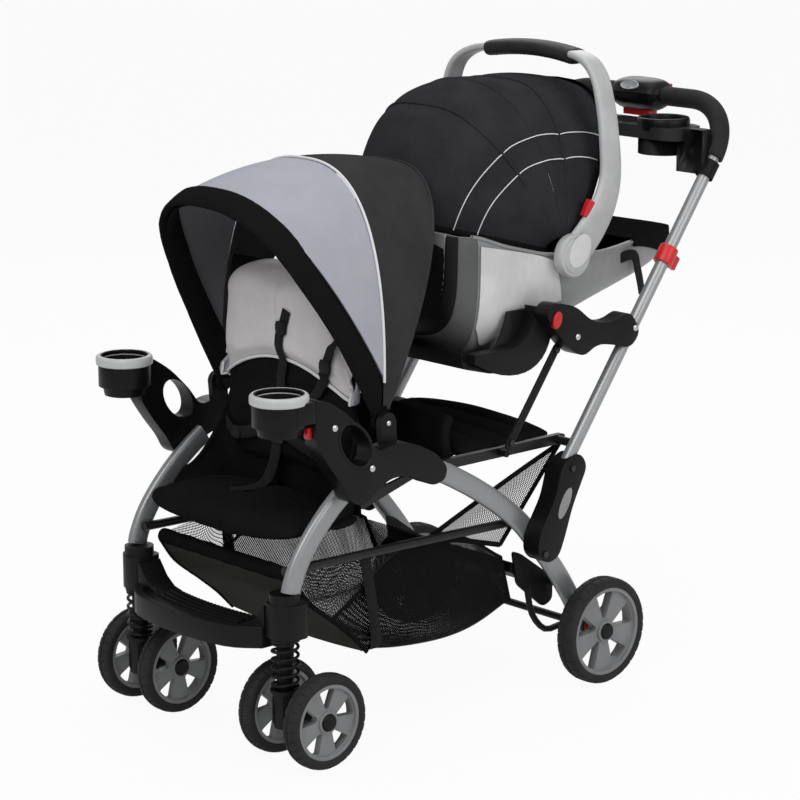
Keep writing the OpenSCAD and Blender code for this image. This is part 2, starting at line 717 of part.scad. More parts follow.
// Parent tray with two cup wells, clamped to the push handle
tray_x = 132;
tray_y = console_q[0] - 82;
tray_z = console_q[1] - 76;
tray_half = 202;
clamp_s = tube_len - tube_bend - 26;
module parent_tray() {
  clamp_q = on_tube(clamp_s);
  well_h = 58;
  color(black) difference() {
    union() {
      translate([0, 0, tray_z + 12]) linear_extrude(24)
        polygon(soft([[-tray_half, tray_y - 30], [-tray_half + 30, tray_y - 48], [tray_half - 30,
          tray_y - 48], [tray_half, tray_y - 30],
          [tray_half, tray_y + 30], [tray_half - 40, tray_y + 46], [-tray_half + 40, tray_y + 46],
            [-tray_half, tray_y + 30]], 16));
      both() {
        translate([tray_x, tray_y, tray_z - 18]) cylinder(r = tray_cup_r + cup_wall, h = well_h);
        in_handle() translate([tube_x, clamp_s - 16, 0]) rotate([-90, 0,
          0]) cylinder(r = tube_r + fit + 5, h = 32);
        translate([tray_half - 20, clamp_q[0] - 16, clamp_q[1] - 8]) cube([tube_x - tray_half + 20, 26,
          tray_z + 36 - clamp_q[1] + 8]);
      }
    }
    both() {
      translate([tray_x, tray_y, tray_z - 12]) cylinder(r = tray_cup_r, h = 100);
      tube_half(tube_r + fit);
      tube_half(tube_r + foam_t + 2 * fit, tube_len - tube_bend - 1);
    }
    translate([-68, tray_y - 32, tray_z + 18]) cube([136, 62, 40]);
  }
}

// Red clips on the push tubes
clip_s = 430;
module tube_clips() {
  color(red) both() difference() {
    union() {
      in_handle() translate([tube_x, clip_s, 0]) rotate([-90, 0, 0]) cylinder(r = tube_r + 6, h = 34);
      in_handle() translate([tube_x - 5, clip_s + 4, -34]) cube([10, 26, 24]);
    }
    tube_half(tube_r + fit);
  }
}

// Moulded brackets that hang the rear seat from the push tubes
bracket_in = tube_x - tube_r - 5;
bracket_out = tube_x + tube_r + 5;
bracket_outline = [[36, 712], [54, 734], [110, 722], [156, 686], [210, 678], [252, 696], [282, 652],
  [256, 624],
  [212, 637], [168, 644], [134, 626], [106, 638], [74, 668]];
button_q = [63, 702];
button_depth = 12;
button_travel = 4;
module seat_brackets() {
  color(black) both() difference() {
    plate(soft(bracket_outline, 22), bracket_in, bracket_out);
    tube_half(tube_r + fit);
    plate(oval(button_q, 16 + fit, 10 + fit, 70), bracket_out - button_depth, 400);
  }
}
module bracket_button(side) {
  color(red) on_side(side) plate(oval(button_q, 16, 10, 70),
    bracket_out - button_depth + button_travel + 1, bracket_out + 4);
}

// Flat bars between the brackets and the bench rails
bar_t = 5;
module support_bars() {
  low = [-22, 474];
  high = [104, 646];
  across = 8 * unit([high[1] - low[1], low[0] - high[0]]);
  color(black) both() {
    plate(soft([low - across, high - across, high + across, low + across], 7),
      bracket_in - fit - bar_t, bracket_in - fit);
    bar_x([low[0] + 4, rail_z + 1], 6, rail_out + fit, bracket_in - fit - bar_t + tiny);
  }
}

// Cradle between the brackets that the infant carrier stands in
cradle_in = 200;
pan_z = 622;
cradle_band = concat(curve([[-104, 640], [-40, 612], [19, 608], [62, 628], [84, 668], [80, 716]], 3),
  curve([[44, 724], [42, 694], [20, 668], [-14, 656], [-104, 656]], 3));
module carrier_cradle() {
  color(black) {
    both() plate(cradle_band, cradle_in, bracket_in - fit);
    plate(soft([[-112, 656], [-108, 628], [-40, 610], [19, 606], [44, 614], [44, pan_z], [-62, pan_z],
      [-96, 634], [-102, 656]], 8),
      -cradle_in - tiny, cradle_in + tiny);
  }
}

// Moulded brackets at the feet of the push tubes, over the rear legs
hinge_outline = [[46, 256], [22, 278], [26, 312], [66, 374], [82, 434], [126, 452], [148, 424], [110,
  352], [92, 300], [76, 264]];
module hinge_brackets() {
  color(black) both() difference() {
    plate(soft(hinge_outline, 18), side_in, bracket_out);
    tube_half(tube_r + fit);
  }
}

// Backrest of the front seat on its hinge barrel, with the harness
back_half = 172;
barrel_r = rod_r + 5;
back_front = back_t / 2 + 7;
module in_back() {
  translate([0, back_pivot[0], back_pivot[1]]) rotate([90, 0, 0]) children();
}
module front_back_pad() {
  color(cloth_black) {
    in_back() cushion(back_half, barrel_r + fit, back_h, back_t, 8, 0);
    difference() {
      bar_x(back_pivot, barrel_r, -150, 150);
      bar_x(back_pivot, rod_r + run, -200, 200);
    }
  }
}
strap_w = 36;
strap_t = 3;
buckle = [46, 54, 14];
buckle_up = 70;
buckle_r = 9;
module harness() {
  color(black) in_back() translate([0, 0, back_front + 1]) difference() {
    union() {
      both() {
        translate([strap_w / 2 + 14, buckle_up + 20, 0]) cube([strap_w, back_h - buckle_up - 90, strap_t]);
        translate([0, buckle_up + 14, 0]) cube([120, 26, strap_t]);
      }
      translate([-buckle[0] / 2, buckle_up, 0]) linear_extrude(buckle[2])
        polygon(soft([[0, 6], [8, 0], [buckle[0] - 8, 0], [buckle[0], 6], [buckle[0], buckle[1]], [0,
          buckle[1]]], 7));
    }
    translate([0, buckle_up + buckle[1] / 2, 4]) cylinder(r = buckle_r + fit, h = 20);
  }
}
button_press = 3;
module buckle_button() {
  color(red) in_back() translate([0, buckle_up + buckle[1] / 2,
    back_front + 5.5 + button_press]) cylinder(r = buckle_r, h = 9);
}

// Infant carrier: bucket shell on a rocking base, lining, hood and carrying handle
shell_wall = 7;
hood_out = hood_half + 8;
pivot_pin_r = 8;
ear_out = hood_half + 4 - fit;
// Stations of the bucket from head to foot: y, half width, lowest point, rim
stations = [[-113, 158, 700, 862], [-96, 176, 668, 858], [-58, 186, pan_z + fit, 852], [0, 190,
  pan_z + fit, 832],
  [44, 190, pan_z + fit, 820], [110, 190, 640, 804], [190, 186, 664, 794], [280, 166, 684, 786], [370,
    140, 698, 786],
  [450, 118, 712, 790], [505, 106, 732, 792], [534, 92, 762, 792]];
// Bucket section at a station, moved in by wall and cut off at a share of its depth
function bucket_ring(s, wall, top, n = 14) = [for (k = [0:n]) let (a = 180 * k / n, w = s[1] - wall,
  low = s[2] + wall)
  [w * bow(cos(a), 0.5), s[0], top + (low - top) * bow(sin(a), 0.5)]];
// Inside of the bucket at a distance wall from its outer face, open at the top
module bucket_inside(wall) {
  last = len(stations) - 1;
  skin([for (i = [0:last]) let (s = stations[i], y = s[0] + (i == 0 ? wall : i == last ? -wall : 0))
    bucket_ring([y, s[1], s[2]], wall, s[3] + 40)]);
}
module carrier_shell() {
  color(grey) {
    difference() {
      union() {
        skin([for (s = stations) bucket_ring(s, 0, s[3])]);
        both() bar_x(hood_pivot, 26, ear_out - 14, ear_out);
      }
      bucket_inside(shell_wall);
    }
    both() bar_x(hood_pivot, pivot_pin_r, ear_out - tiny, hood_out + 30);
  }
}
module carrier_pad() {
  top = [for (s = stations) [s[0], s[2] + 0.42 * (s[3] - s[2])]];
  color(cloth_black) intersection() {
    bucket_inside(shell_wall + 2 * fit);
    plate(concat(top, [[stations[len(stations) - 1][0], 500], [stations[0][0], 500]]), -300, 300);
  }
}

// Hood of the carrier: fixed head cloth, folding cloth and the bow that carries its edge
hood_split = 76;
hood_end = 122;
hood_edge_r = 332;
hood_bow_t = 4;
eye_r = 14;
hood_rows = [[15, 278, hood_out - 26], [36, 306, hood_out - 20], [57, 322, hood_out - 8], [hood_split,
  312, hood_out]];
hood_from = 30;
// Tab that reaches from the eye to the cloth's corner
function hood_spoke(phi, d) = hood_pivot + d * [-cos(phi), sin(phi)];
module carrier_hood_rear() {
  color(cloth_black) {
    both() difference() {
      union() {
        bar_x(hood_pivot, eye_r, hood_half + 4, hood_out);
        plate([hood_spoke(-20, eye_r - 2), hood_spoke(66, hood_from - fit), hood_spoke(76, hood_from - fit),
          hood_spoke(150, eye_r - 2)], hood_half + 4, hood_out);
      }
      bar_x(hood_pivot, pivot_pin_r + run, 0, 400);
    }
    cloth_panel(hood_pivot, hood_rows, 4, hood_from);
  }
}
module carrier_hood_front() {
  color(cloth_black) cloth_panel(hood_pivot,
    [[hood_split + 0.5, 312, hood_out], [95, 304, hood_out], [hood_end + 2, hood_edge_r, hood_out - 3]],
    4, hood_from);
}
module carrier_hood_bow() {
  color(cloth_black) {
    eyes(hood_pivot, eye_r + 4, pivot_pin_r + run, hood_out + fit, hood_out + fit + hood_bow_t);
    bow_bar(hood_pivot, hood_out + fit + hood_bow_t - 0.5, hood_edge_r + hood_bow_t + bow_gap,
      hood_end, 14, hood_bow_t - 1, eye_r);
  }
}

// Carrying handle with flat arms, a grip and a release button on each arm
handle_in = hood_out + 2 * fit + hood_bow_t;
handle_t = 16;
handle_x = handle_in + handle_t / 2;
arm_root = [[116, 780], [150, 758], [190, 768], [238, 806], [262, 862], [274, 916], [226, 930], [200,
  896], [178, 858], [128, 838], [110, 806]];
grip_top = [264, 1150];
grip_half = 118;
handle_half_path = [[handle_x, 240, 880], [handle_x, 249, 935], [handle_x - 3, 247, 995],
  [handle_x - 14, 241, 1056],
  [handle_x - 46, 244, 1108], [handle_x - 100, 258, 1140]];
handle_path = concat(handle_half_path, [[0, grip_top[0], grip_top[1]]],
  [for (i = [len(handle_half_path) - 1:-1:0]) let (p = handle_half_path[i]) [-p[0], p[1], p[2]]]);
arm_w = 46;
press_q = [191, 881];
press_dir = unit([20, 36]);
press_in = [press_dir[1], -press_dir[0]];
press = [10, 32, 16];
press_travel = 4;
// Outline of the release button, moved into the arm by a depth and grown by a margin
function press_outline(depth, grow) = [for (c = [[-1, -1], [1, -1], [1, 1], [-1, 1]])
  press_q + c[0] * (press[1] / 2 + grow) * press_dir
    + (c[1] > 0 ? press[2] / 2 + depth + grow : -press[2] / 2 - grow) * press_in];
press_x = handle_in + (handle_t - press[0]) / 2;
module carrier_handle() {
  color(grey) {
    both() difference() {
      union() {
        bar_x(hood_pivot, 38, handle_in, handle_in + handle_t + 6);
        plate(soft(arm_root, 16), handle_in, handle_in + handle_t);
      }
      bar_x(hood_pivot, pivot_pin_r + run, 0, 400);
      plate(press_outline(press_travel + 1, fit), press_x - fit, press_x + press[0] + fit);
    }
    sweep(curve(handle_path, 2), [0, 1, 0], arm_w, handle_t - 1, 16);
  }
  color(black) sweep([for (u = [-1:0.5:1]) [grip_half * u, grip_top[0] - 5 * u * u,
    grip_top[1] - 10 * u * u]], [0, 1, 0], arm_w + 6, 28, 16);
}
module carrier_button(side) {
  color(red) on_side(side) plate(press_outline(0, 0), press_x, press_x + press[0]);
}

front_legs();
rear_legs();
armrests();
cup_holders();
castor_housings();
footrest();
frame_rails();
front_seat_pad();
rear_bench_pad();
basket();
standing_platform();
platform_struts();
rear_axle();
canopy_hubs();
canopy_rear_panel();
push_tube();
handle_foam();
handle_console();
parent_tray();
tube_clips();
seat_brackets();
support_bars();
carrier_cradle();
hinge_brackets();
front_back_pad();
harness();
buckle_button();
canopy_front_bow();
canopy_front_panel();
carrier_shell();
carrier_pad();
carrier_hood_rear();
carrier_hood_front();
carrier_hood_bow();
carrier_handle();
carrier_button(1);  // carrier_button_right
carrier_button(-1);  // carrier_button_left
castor_post(1);  // castor_post_right
castor_spring(1);  // castor_spring_right
castor_fork(1);  // castor_fork_right
castor_axle(1);  // castor_axle_right
front_wheel(1, 1);  // front_wheel_right_outer
front_wheel(1, -1);  // front_wheel_right_inner
castor_post(-1);  // castor_post_left
castor_spring(-1);  // castor_spring_left
castor_fork(-1);  // castor_fork_left
castor_axle(-1);  // castor_axle_left
front_wheel(-1, 1);  // front_wheel_left_outer
front_wheel(-1, -1);  // front_wheel_left_inner
rear_wheel(1);  // rear_wheel_right
rear_wheel(-1);  // rear_wheel_left
brake_lever(1);  // brake_lever_right
brake_lever(-1);  // brake_lever_left
fold_trigger();
fold_lock();
cup_button(1);  // cup_button_right
cup_button(-1);  // cup_button_left
bracket_button(1);  // bracket_button_right
bracket_button(-1);  // bracket_button_left
bench_latch();
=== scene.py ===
"""Looks of the tandem stroller: finishes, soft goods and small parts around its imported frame."""

from __future__ import annotations

import json
import logging
import math
from dataclasses import dataclass, field
from enum import Enum
from typing import Callable, Sequence

import bmesh
import bpy
import numpy as np
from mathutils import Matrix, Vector
from mathutils.bvhtree import BVHTree

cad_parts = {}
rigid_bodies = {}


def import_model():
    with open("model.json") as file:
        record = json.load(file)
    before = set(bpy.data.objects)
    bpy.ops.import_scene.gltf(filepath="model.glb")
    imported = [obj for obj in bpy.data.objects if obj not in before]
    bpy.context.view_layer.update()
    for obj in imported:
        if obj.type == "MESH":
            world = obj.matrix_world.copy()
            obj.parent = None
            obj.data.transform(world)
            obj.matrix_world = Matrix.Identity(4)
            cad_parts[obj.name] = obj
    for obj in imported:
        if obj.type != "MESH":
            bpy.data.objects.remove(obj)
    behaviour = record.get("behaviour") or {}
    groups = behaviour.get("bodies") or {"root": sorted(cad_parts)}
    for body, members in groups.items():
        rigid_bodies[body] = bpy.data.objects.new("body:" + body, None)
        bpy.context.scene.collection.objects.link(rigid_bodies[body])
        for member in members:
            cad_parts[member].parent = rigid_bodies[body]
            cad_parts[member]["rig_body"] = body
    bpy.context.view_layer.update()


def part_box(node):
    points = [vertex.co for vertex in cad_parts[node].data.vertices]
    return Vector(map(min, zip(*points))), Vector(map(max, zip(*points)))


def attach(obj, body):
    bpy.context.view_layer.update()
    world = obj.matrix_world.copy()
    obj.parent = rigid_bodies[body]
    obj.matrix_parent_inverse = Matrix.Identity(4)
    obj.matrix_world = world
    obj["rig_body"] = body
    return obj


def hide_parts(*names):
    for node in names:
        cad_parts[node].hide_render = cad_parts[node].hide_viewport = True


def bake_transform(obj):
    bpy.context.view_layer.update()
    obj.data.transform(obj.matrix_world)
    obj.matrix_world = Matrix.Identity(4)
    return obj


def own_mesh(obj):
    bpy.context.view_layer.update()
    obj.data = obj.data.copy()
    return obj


log = logging.getLogger("stroller")
MM = 0.001
Colour = tuple[float, float, float]
Grid = np.ndarray
Outline = tuple[tuple[float, ...], ...]


class Body(Enum):
    """Bodies of the frame that pieces ride on."""

    CHASSIS = "chassis"
    BACKREST = "backrest"
    CANOPY = "canopy_front"
    CARRIER = "carrier"
    HOOD = "carrier_hood"
    HANDLE = "carrier_handle"


class Side(Enum):
    """The two sides of the stroller, as the sign of X."""

    RIGHT = 1
    LEFT = -1

    @property
    def word(self) -> str:
        """The side's name as the frame's nodes spell it."""
        return self.name.lower()


class Value:
    """A number worked out by shader nodes, written with Python's operators."""

    def __init__(self, tree: bpy.types.NodeTree, socket: bpy.types.NodeSocket) -> None:
        """Wrap an output socket.

        Args:
            tree: The node tree that holds the socket.
            socket: The output to wrap.
        """
        self.tree, self.socket = tree, socket

    def math(self, operation: str, *others: Value | float, swap: bool = False) -> Value:
        """Add a Math node.

        Args:
            operation: The node's operation.
            others: The further terms, values or numbers.
            swap: Put the terms in reverse order.

        Returns:
            The node's result.
        """
        node = self.tree.nodes.new("ShaderNodeMath")
        node.operation = operation
        terms = [self, *others][:: -1 if swap else 1]
        for slot, term in zip(node.inputs, terms):
            if isinstance(term, Value):
                self.tree.links.new(term.socket, slot)
            else:
                slot.default_value = term
        return Value(self.tree, node.outputs[0])

    def __add__(self, other: Value | float) -> Value:
        """Sum."""
        return self.math("ADD", other)

    def __sub__(self, other: Value | float) -> Value:
        """Difference."""
        return self.math("SUBTRACT", other)

    def __rsub__(self, other: float) -> Value:
        """Difference from a number."""
        return self.math("SUBTRACT", other, swap=True)

    def __mul__(self, other: Value | float) -> Value:
        """Product."""
        return self.math("MULTIPLY", other)

    __radd__ = __add__
    __rmul__ = __mul__

    def sine(self) -> Value:
        """Sine of the value, in radians."""
        return self.math("SINE")

    def size(self) -> Value:
        """Absolute value."""
        return self.math("ABSOLUTE")

    def between(self, low: float, high: float) -> Value:
        """Smooth step from 0 at low to 1 at high.

        Args:
            low: Where the step starts.
            high: Where the step ends.

        Returns:
            The stepped value.
        """
        node = self.tree.nodes.new("ShaderNodeMapRange")
        node.interpolation_type = "SMOOTHSTEP"
        self.tree.links.new(self.socket, node.inputs["Value"])
        node.inputs["From Min"].default_value = low
        node.inputs["From Max"].default_value = high
        return Value(self.tree, node.outputs[0])


class Shader:
    """A material under construction, with one Principled shader."""

    def __init__(self, name: str) -> None:
        """Start a material.

        Args:
            name: The material's name.
        """
        self.material = bpy.data.materials.new(name)
        self.material.use_nodes = True
        self.tree = self.material.node_tree
        self.principled = self.tree.nodes["Principled BSDF"]

    def node(self, kind: str, settings: dict | None = None, inputs: dict | None = None) -> bpy.types.Node:
        """Add a node.

        Args:
            kind: The node's type, without its ShaderNode prefix.
            settings: The node's own settings, set first.
            inputs: Values or links of its sockets.

        Returns:
            The new node.
        """
        node = self.tree.nodes.new("ShaderNode" + kind)
        for key, value in (settings or {}).items():
            setattr(node, key, value)
        for key, value in (inputs or {}).items():
            self.feed(node.inputs[key], value)
        return node

    def feed(self, slot: bpy.types.NodeSocket, value: object) -> None:
        """Link or set a socket.

        Args:
            slot: The input socket.
            value: A Value, an output socket, a colour or a number.
        """
        if isinstance(value, Value):
            value = value.socket
        if isinstance(value, bpy.types.NodeSocket):
            self.tree.links.new(value, slot)
        elif isinstance(value, tuple) and len(value) == 3 and slot.type == "RGBA":
            slot.default_value = (*value, 1.0)
        else:
            slot.default_value = value

    def place(self, source: str = "Object") -> bpy.types.NodeSocket:
        """Texture coordinates of the piece."""
        return self.node("TexCoord").outputs[source]

    def axis(self, index: int, source: str = "Object") -> Value:
        """One coordinate of the piece as a number.

        Args:
            index: 0, 1 or 2 for X, Y or Z.
            source: The kind of coordinates.

        Returns:
            The coordinate.
        """
        split = self.node("SeparateXYZ", inputs={"Vector": self.place(source)})
        return Value(self.tree, split.outputs[index])

    def noise(self, scale: float, detail: float = 2.0, rough: float = 0.5, source: str = "Object") -> Value:
        """Noise over the piece.

        Args:
            scale: Lumps to a metre.
            detail: Layers of finer noise.
            rough: Share of the finer layers.
            source: The kind of coordinates.

        Returns:
            A number about 0.5.
        """
        node = self.node(
            "TexNoise",
            inputs={"Vector": self.place(source), "Scale": scale, "Detail": detail, "Roughness": rough},
        )
        return Value(self.tree, node.outputs[0])

    def cells(self, scale: float) -> Value:
        """Distance to the nearest of scattered points, for grains and pores."""
        node = self.node("TexVoronoi", inputs={"Vector": self.place(), "Scale": scale})
        return Value(self.tree, node.outputs["Distance"])

    def mix(self, factor: Value | float, a: object, b: object) -> bpy.types.NodeSocket:
        """Mix two colours.

        Args:
            factor: Share of the second colour.
            a: The first colour.
            b: The second colour.

        Returns:
            The mixed colour's socket.
        """
        node = self.tree.nodes.new("ShaderNodeMix")
        node.data_type = "RGBA"
        for slot, value in zip((node.inputs[0], node.inputs[6], node.inputs[7]), (factor, a, b)):
            self.feed(slot, value)
        return node.outputs[2]

    def relief(self, height: Value, depth: float, edge: float = 0.0) -> None:
        """Bump the surface, and round the edges in its shading.

        Args:
            height: Height from 0 to 1.
            depth: Depth of the relief in metres.
            edge: Radius of the rounded edges in metres.
        """
        bump = self.node("Bump", inputs={"Height": height, "Distance": depth, "Strength": 1.0})
        if edge > 0:
            rounded = self.node("Bevel", {"samples": 4}, {"Radius": edge})
            self.feed(bump.inputs["Normal"], rounded.outputs[0])
        self.feed(self.principled.inputs["Normal"], bump.outputs[0])

    def set(self, **sockets: object) -> None:
        """Set or link sockets of the Principled shader by their names, with _ for a space."""
        for key, value in sockets.items():
            self.feed(self.principled.inputs[key.replace("_", " ").title().replace("Ior", "IOR")], value)


def tint(colour: Colour, share: float) -> Colour:
    """A colour made lighter or darker.

    Args:
        colour: The colour.
        share: Its new share of itself.

    Returns:
        The changed colour.
    """
    return tuple(min(1.0, c * share) for c in colour)


@dataclass(frozen=True)
class Finish:
    """A surface finish and the slot of the record that it belongs to."""

    name: str
    slot: str
    colour: Colour
    roughness: float = 0.5

    def material(self) -> bpy.types.Material:
        """The finish as a material, made once."""
        known = bpy.data.materials.get(self.name)
        if known is None:
            shader = Shader(self.name)
            self.paint(shader)
            shader.set(specular_ior_level=self.shine())
            known = shader.material
        return known

    def shine(self) -> float:
        """Strength of the mirror reflection, weak on the dark finishes."""
        return 0.16 if max(self.colour) < 0.06 else 0.5

    def tones(self, shader: Shader, share: Value, low: float, high: float) -> None:
        """Let the colour vary between two shares of itself.

        Args:
            shader: The material under construction.
            share: 0 for the first tone, 1 for the second.
            low: The first tone's share of the colour.
            high: The second tone's share.
        """
        shader.set(base_color=shader.mix(share, tint(self.colour, low), tint(self.colour, high)))

    def paint(self, shader: Shader) -> None:
        """Add the finish's nodes to a shader."""
        raise NotImplementedError


@dataclass(frozen=True)
class Moulded(Finish):
    """Moulded plastic with a fine grain and rounded edges."""

    grain: float = 700.0
    depth: float = 0.00012
    edge: float = 0.002

    def paint(self, shader: Shader) -> None:
        """Grain and a slight unevenness of colour and gloss."""
        grain, cloud = shader.cells(self.grain), shader.noise(9.0, 4.0, 0.6)
        self.tones(shader, cloud.between(0.3, 0.75), 0.88, 1.14)
        shader.set(roughness=self.roughness - 0.05 + 0.14 * cloud + 0.04 * grain)
        shader.relief(grain, self.depth, self.edge)


@dataclass(frozen=True)
class Coated(Finish):
    """Metallic coat on tube: fine flakes under a satin lacquer."""

    metal: float = 0.55

    def paint(self, shader: Shader) -> None:
        """Flakes and the faint ripple of a sprayed coat."""
        flakes, ripple = shader.noise(2600.0, 1.0), shader.noise(160.0, 2.0)
        self.tones(shader, flakes.between(0.3, 0.7), 0.95, 1.05)
        shader.set(roughness=self.roughness + 0.02 * ripple, metallic=self.metal)
        shader.set(coat_weight=0.25, coat_roughness=0.25)
        shader.relief(ripple, 0.00002)


@dataclass(frozen=True)
class Bright(Finish):
    """Bright or darkened metal with fine drawing lines."""

    def paint(self, shader: Shader) -> None:
        """Drawing lines round the piece."""
        lines = shader.noise(1400.0, 2.0)
        self.tones(shader, lines, 0.86, 1.0)
        shader.set(metallic=1.0, roughness=self.roughness - 0.06 + 0.14 * lines)
        shader.relief(lines, 0.00003, 0.0006)


@dataclass(frozen=True)
class Woven(Finish):
    """Woven cloth: crossing threads, small creases and, on a heather, threads of two colours."""

    pitch: float = 0.0011
    heather: float = 0.12
    crease: float = 0.0009
    sheen: float = 0.01

    def shine(self) -> float:
        """No mirror reflection on cloth."""
        return 0.0

    def paint(self, shader: Shader) -> None:
        """Threads, creases and the cloth's uneven colour."""
        turn = 2 * math.pi / self.pitch
        thread = sum((shader.axis(i) * turn).sine() for i in range(3)) * 0.16 + 0.5
        slub, cloud = shader.noise(900.0, 2.0), shader.noise(14.0, 5.0, 0.6)
        crease = shader.noise(38.0, 3.0, 0.55)
        share = slub.between(0.25, 0.75) * 0.6 + cloud.between(0.3, 0.7) * 0.4
        self.tones(shader, share, 1 - self.heather, 1 + self.heather)
        shader.set(roughness=self.roughness + 0.08 * cloud, sheen_weight=self.sheen, sheen_roughness=0.5)
        shader.relief(thread * 0.14 + crease * 0.86, self.crease)


@dataclass(frozen=True)
class Webbing(Finish):
    """Strap webbing with slanting ribs."""

    def paint(self, shader: Shader) -> None:
        """Ribs that slant across the strap."""
        ribs = ((shader.axis(0) + shader.axis(2) * 0.7) * 3200.0).sine() * 0.5 + 0.5
        self.tones(shader, ribs, 0.7, 1.2)
        shader.set(roughness=self.roughness + 0.1 * ribs, sheen_weight=0.02)
        shader.relief(ribs, 0.0005)


@dataclass(frozen=True)
class Elastic(Finish):
    """Rubber or closed foam with a moulded skin."""

    pores: float = 900.0
    depth: float = 0.0002

    def paint(self, shader: Shader) -> None:
        """Pores and bloom."""
        pores, bloom = shader.cells(self.pores), shader.noise(22.0, 4.0, 0.6)
        self.tones(shader, bloom.between(0.35, 0.8), 1.0, 1.5)
        shader.set(roughness=self.roughness - 0.04 + 0.14 * bloom)
        shader.relief(pores, self.depth, 0.0008)


@dataclass(frozen=True)
class Netting(Finish):
    """Open knitted net, read from the piece's own UV map in metres."""

    cell: float = 0.0062
    thread: float = 0.42

    def paint(self, shader: Shader) -> None:
        """Diamond holes between knitted threads."""
        u, v, turn = shader.axis(0, "UV"), shader.axis(1, "UV"), math.pi / self.cell
        knit = ((u + v) * turn).sine().size().math("MINIMUM", ((u - v) * turn).sine().size())
        solid = 1 - knit.between(self.thread, self.thread + 0.16)
        fuzz = shader.noise(700.0, 2.0)
        self.tones(shader, fuzz, 0.8, 1.15)
        shader.set(roughness=self.roughness, alpha=solid)
        shader.relief(solid, 0.0004)


class Looks:
    """Every finish of the stroller."""

    BLACK = Moulded("black_moulding", "black_plastic", (0.0075, 0.0075, 0.008), 0.38)
    BLACK_SATIN = Moulded("black_satin", "black_plastic", (0.0065, 0.0065, 0.007), 0.30, 500.0, 0.00005)
    GREY = Moulded("grey_moulding", "grey_plastic", (0.28, 0.285, 0.29), 0.36, 900.0, 0.00006)
    GREY_LIGHT = Moulded("light_grey_moulding", "grey_plastic", (0.50, 0.505, 0.51), 0.34, 900.0, 0.00005)
    PLATE = Moulded("blank_plate", "grey_plastic", (0.70, 0.70, 0.71), 0.42, 900.0, 0.00003)
    GREY_DARK = Moulded("dark_grey_moulding", "grey_plastic", (0.085, 0.087, 0.089), 0.42, 900.0, 0.00006)
    PALE = Moulded("pale_moulding", "grey_plastic", (0.58, 0.585, 0.59), 0.3, 900.0, 0.00004, 0.0015)
    RIM = Moulded("wheel_rim", "wheel", (0.225, 0.23, 0.235), 0.38, 900.0, 0.00006, 0.0025)
    RED = Moulded("red_moulding", "red_plastic", (0.60, 0.012, 0.018), 0.3, 800.0, 0.00004, 0.0015)
    SILVER = Coated("silver_coat", "legs", (0.30, 0.31, 0.32), 0.36)
    TUBE = Coated("satin_tube", "push_tube", (0.34, 0.35, 0.36), 0.36, 0.5)
    BLACK_TUBE = Coated("black_coat", "black_metal", (0.014, 0.014, 0.015), 0.36, 0.1)
    STEEL = Bright("bright_steel", "steel", (0.62, 0.62, 0.63), 0.24)
    DARK_STEEL = Bright("dark_steel", "steel", (0.06, 0.06, 0.062), 0.38)
    BLACK_CLOTH = Woven("pad_cloth", "black_cloth", (0.0112, 0.0108, 0.0118), 0.72, 0.0011, 0.3, 0.0016)
    CHARCOAL = Woven("charcoal_cloth", "black_cloth", (0.043, 0.043, 0.045), 0.74, 0.0011, 0.25, 0.0022)
    HOOD = Woven("hood_cloth", "black_cloth", (0.033, 0.0334, 0.0375), 0.70, 0.0011, 0.3, 0.0022)
    GREY_CLOTH = Woven("panel_cloth", "grey_cloth", (0.42, 0.42, 0.476), 0.66, 0.0011, 0.08, 0.0016)
    LINING = Woven("grey_lining", "grey_cloth", (0.15, 0.15, 0.165), 0.72, 0.0011, 0.06, 0.0012)
    HEATHER = Woven("heather_cloth", "grey_cloth", (0.72, 0.69, 0.695), 0.78, 0.0014, 0.12, 0.0008)
    PIPING = Woven("white_piping", "grey_cloth", (0.78, 0.78, 0.78), 0.6, 0.0008, 0.04, 0.0002)
    BINDING = Woven("black_binding", "black_cloth", (0.010, 0.010, 0.0105), 0.6, 0.0009, 0.1, 0.0004)
    STRAP = Webbing("black_webbing", "black_cloth", (0.010, 0.010, 0.0106), 0.7)
    TYRE = Elastic("tyre_rubber", "wheel", (0.022, 0.022, 0.023), 0.62)
    FOAM = Elastic("grip_foam", "foam", (0.020, 0.020, 0.021), 0.72, 1600.0, 0.00035)
    RUBBER = Elastic("grip_rubber", "foam", (0.017, 0.017, 0.018), 0.5)
    NET = Netting("basket_net", "black_cloth", (0.0026, 0.0026, 0.0026), 0.8, 0.0045, 0.62)
    OPEN_NET = Netting("open_net", "black_cloth", (0.03, 0.03, 0.029), 0.7, 0.0062, 0.27)
    OLIVE = Woven("olive_cloth", "black_cloth", (0.074, 0.073, 0.066), 0.74)


def power(value: Grid, exponent: float) -> Grid:
    """Power that keeps the sign, for rounded sections."""
    return np.sign(value) * np.abs(value) ** exponent


def through(points: Sequence[Sequence[float]], steps: int) -> Grid:
    """Smooth curve through points.

    Args:
        points: The points to pass through, of any dimension.
        steps: Steps in each span.

    Returns:
        The points of the curve.
    """
    p = np.asarray(points, float)
    ends = np.vstack([2 * p[0] - p[1], p, 2 * p[-1] - p[-2]])
    t = np.linspace(0, 1, steps, endpoint=False)[:, None]
    spans = []
    for a, b, c, d in zip(ends, ends[1:], ends[2:], ends[3:]):
        square, cube = 2 * a - 5 * b + 4 * c - d, 3 * b - a - 3 * c + d
        spans.append(0.5 * (2 * b + (c - a) * t + square * t**2 + cube * t**3))
    return np.vstack([*spans, p[-1:]])


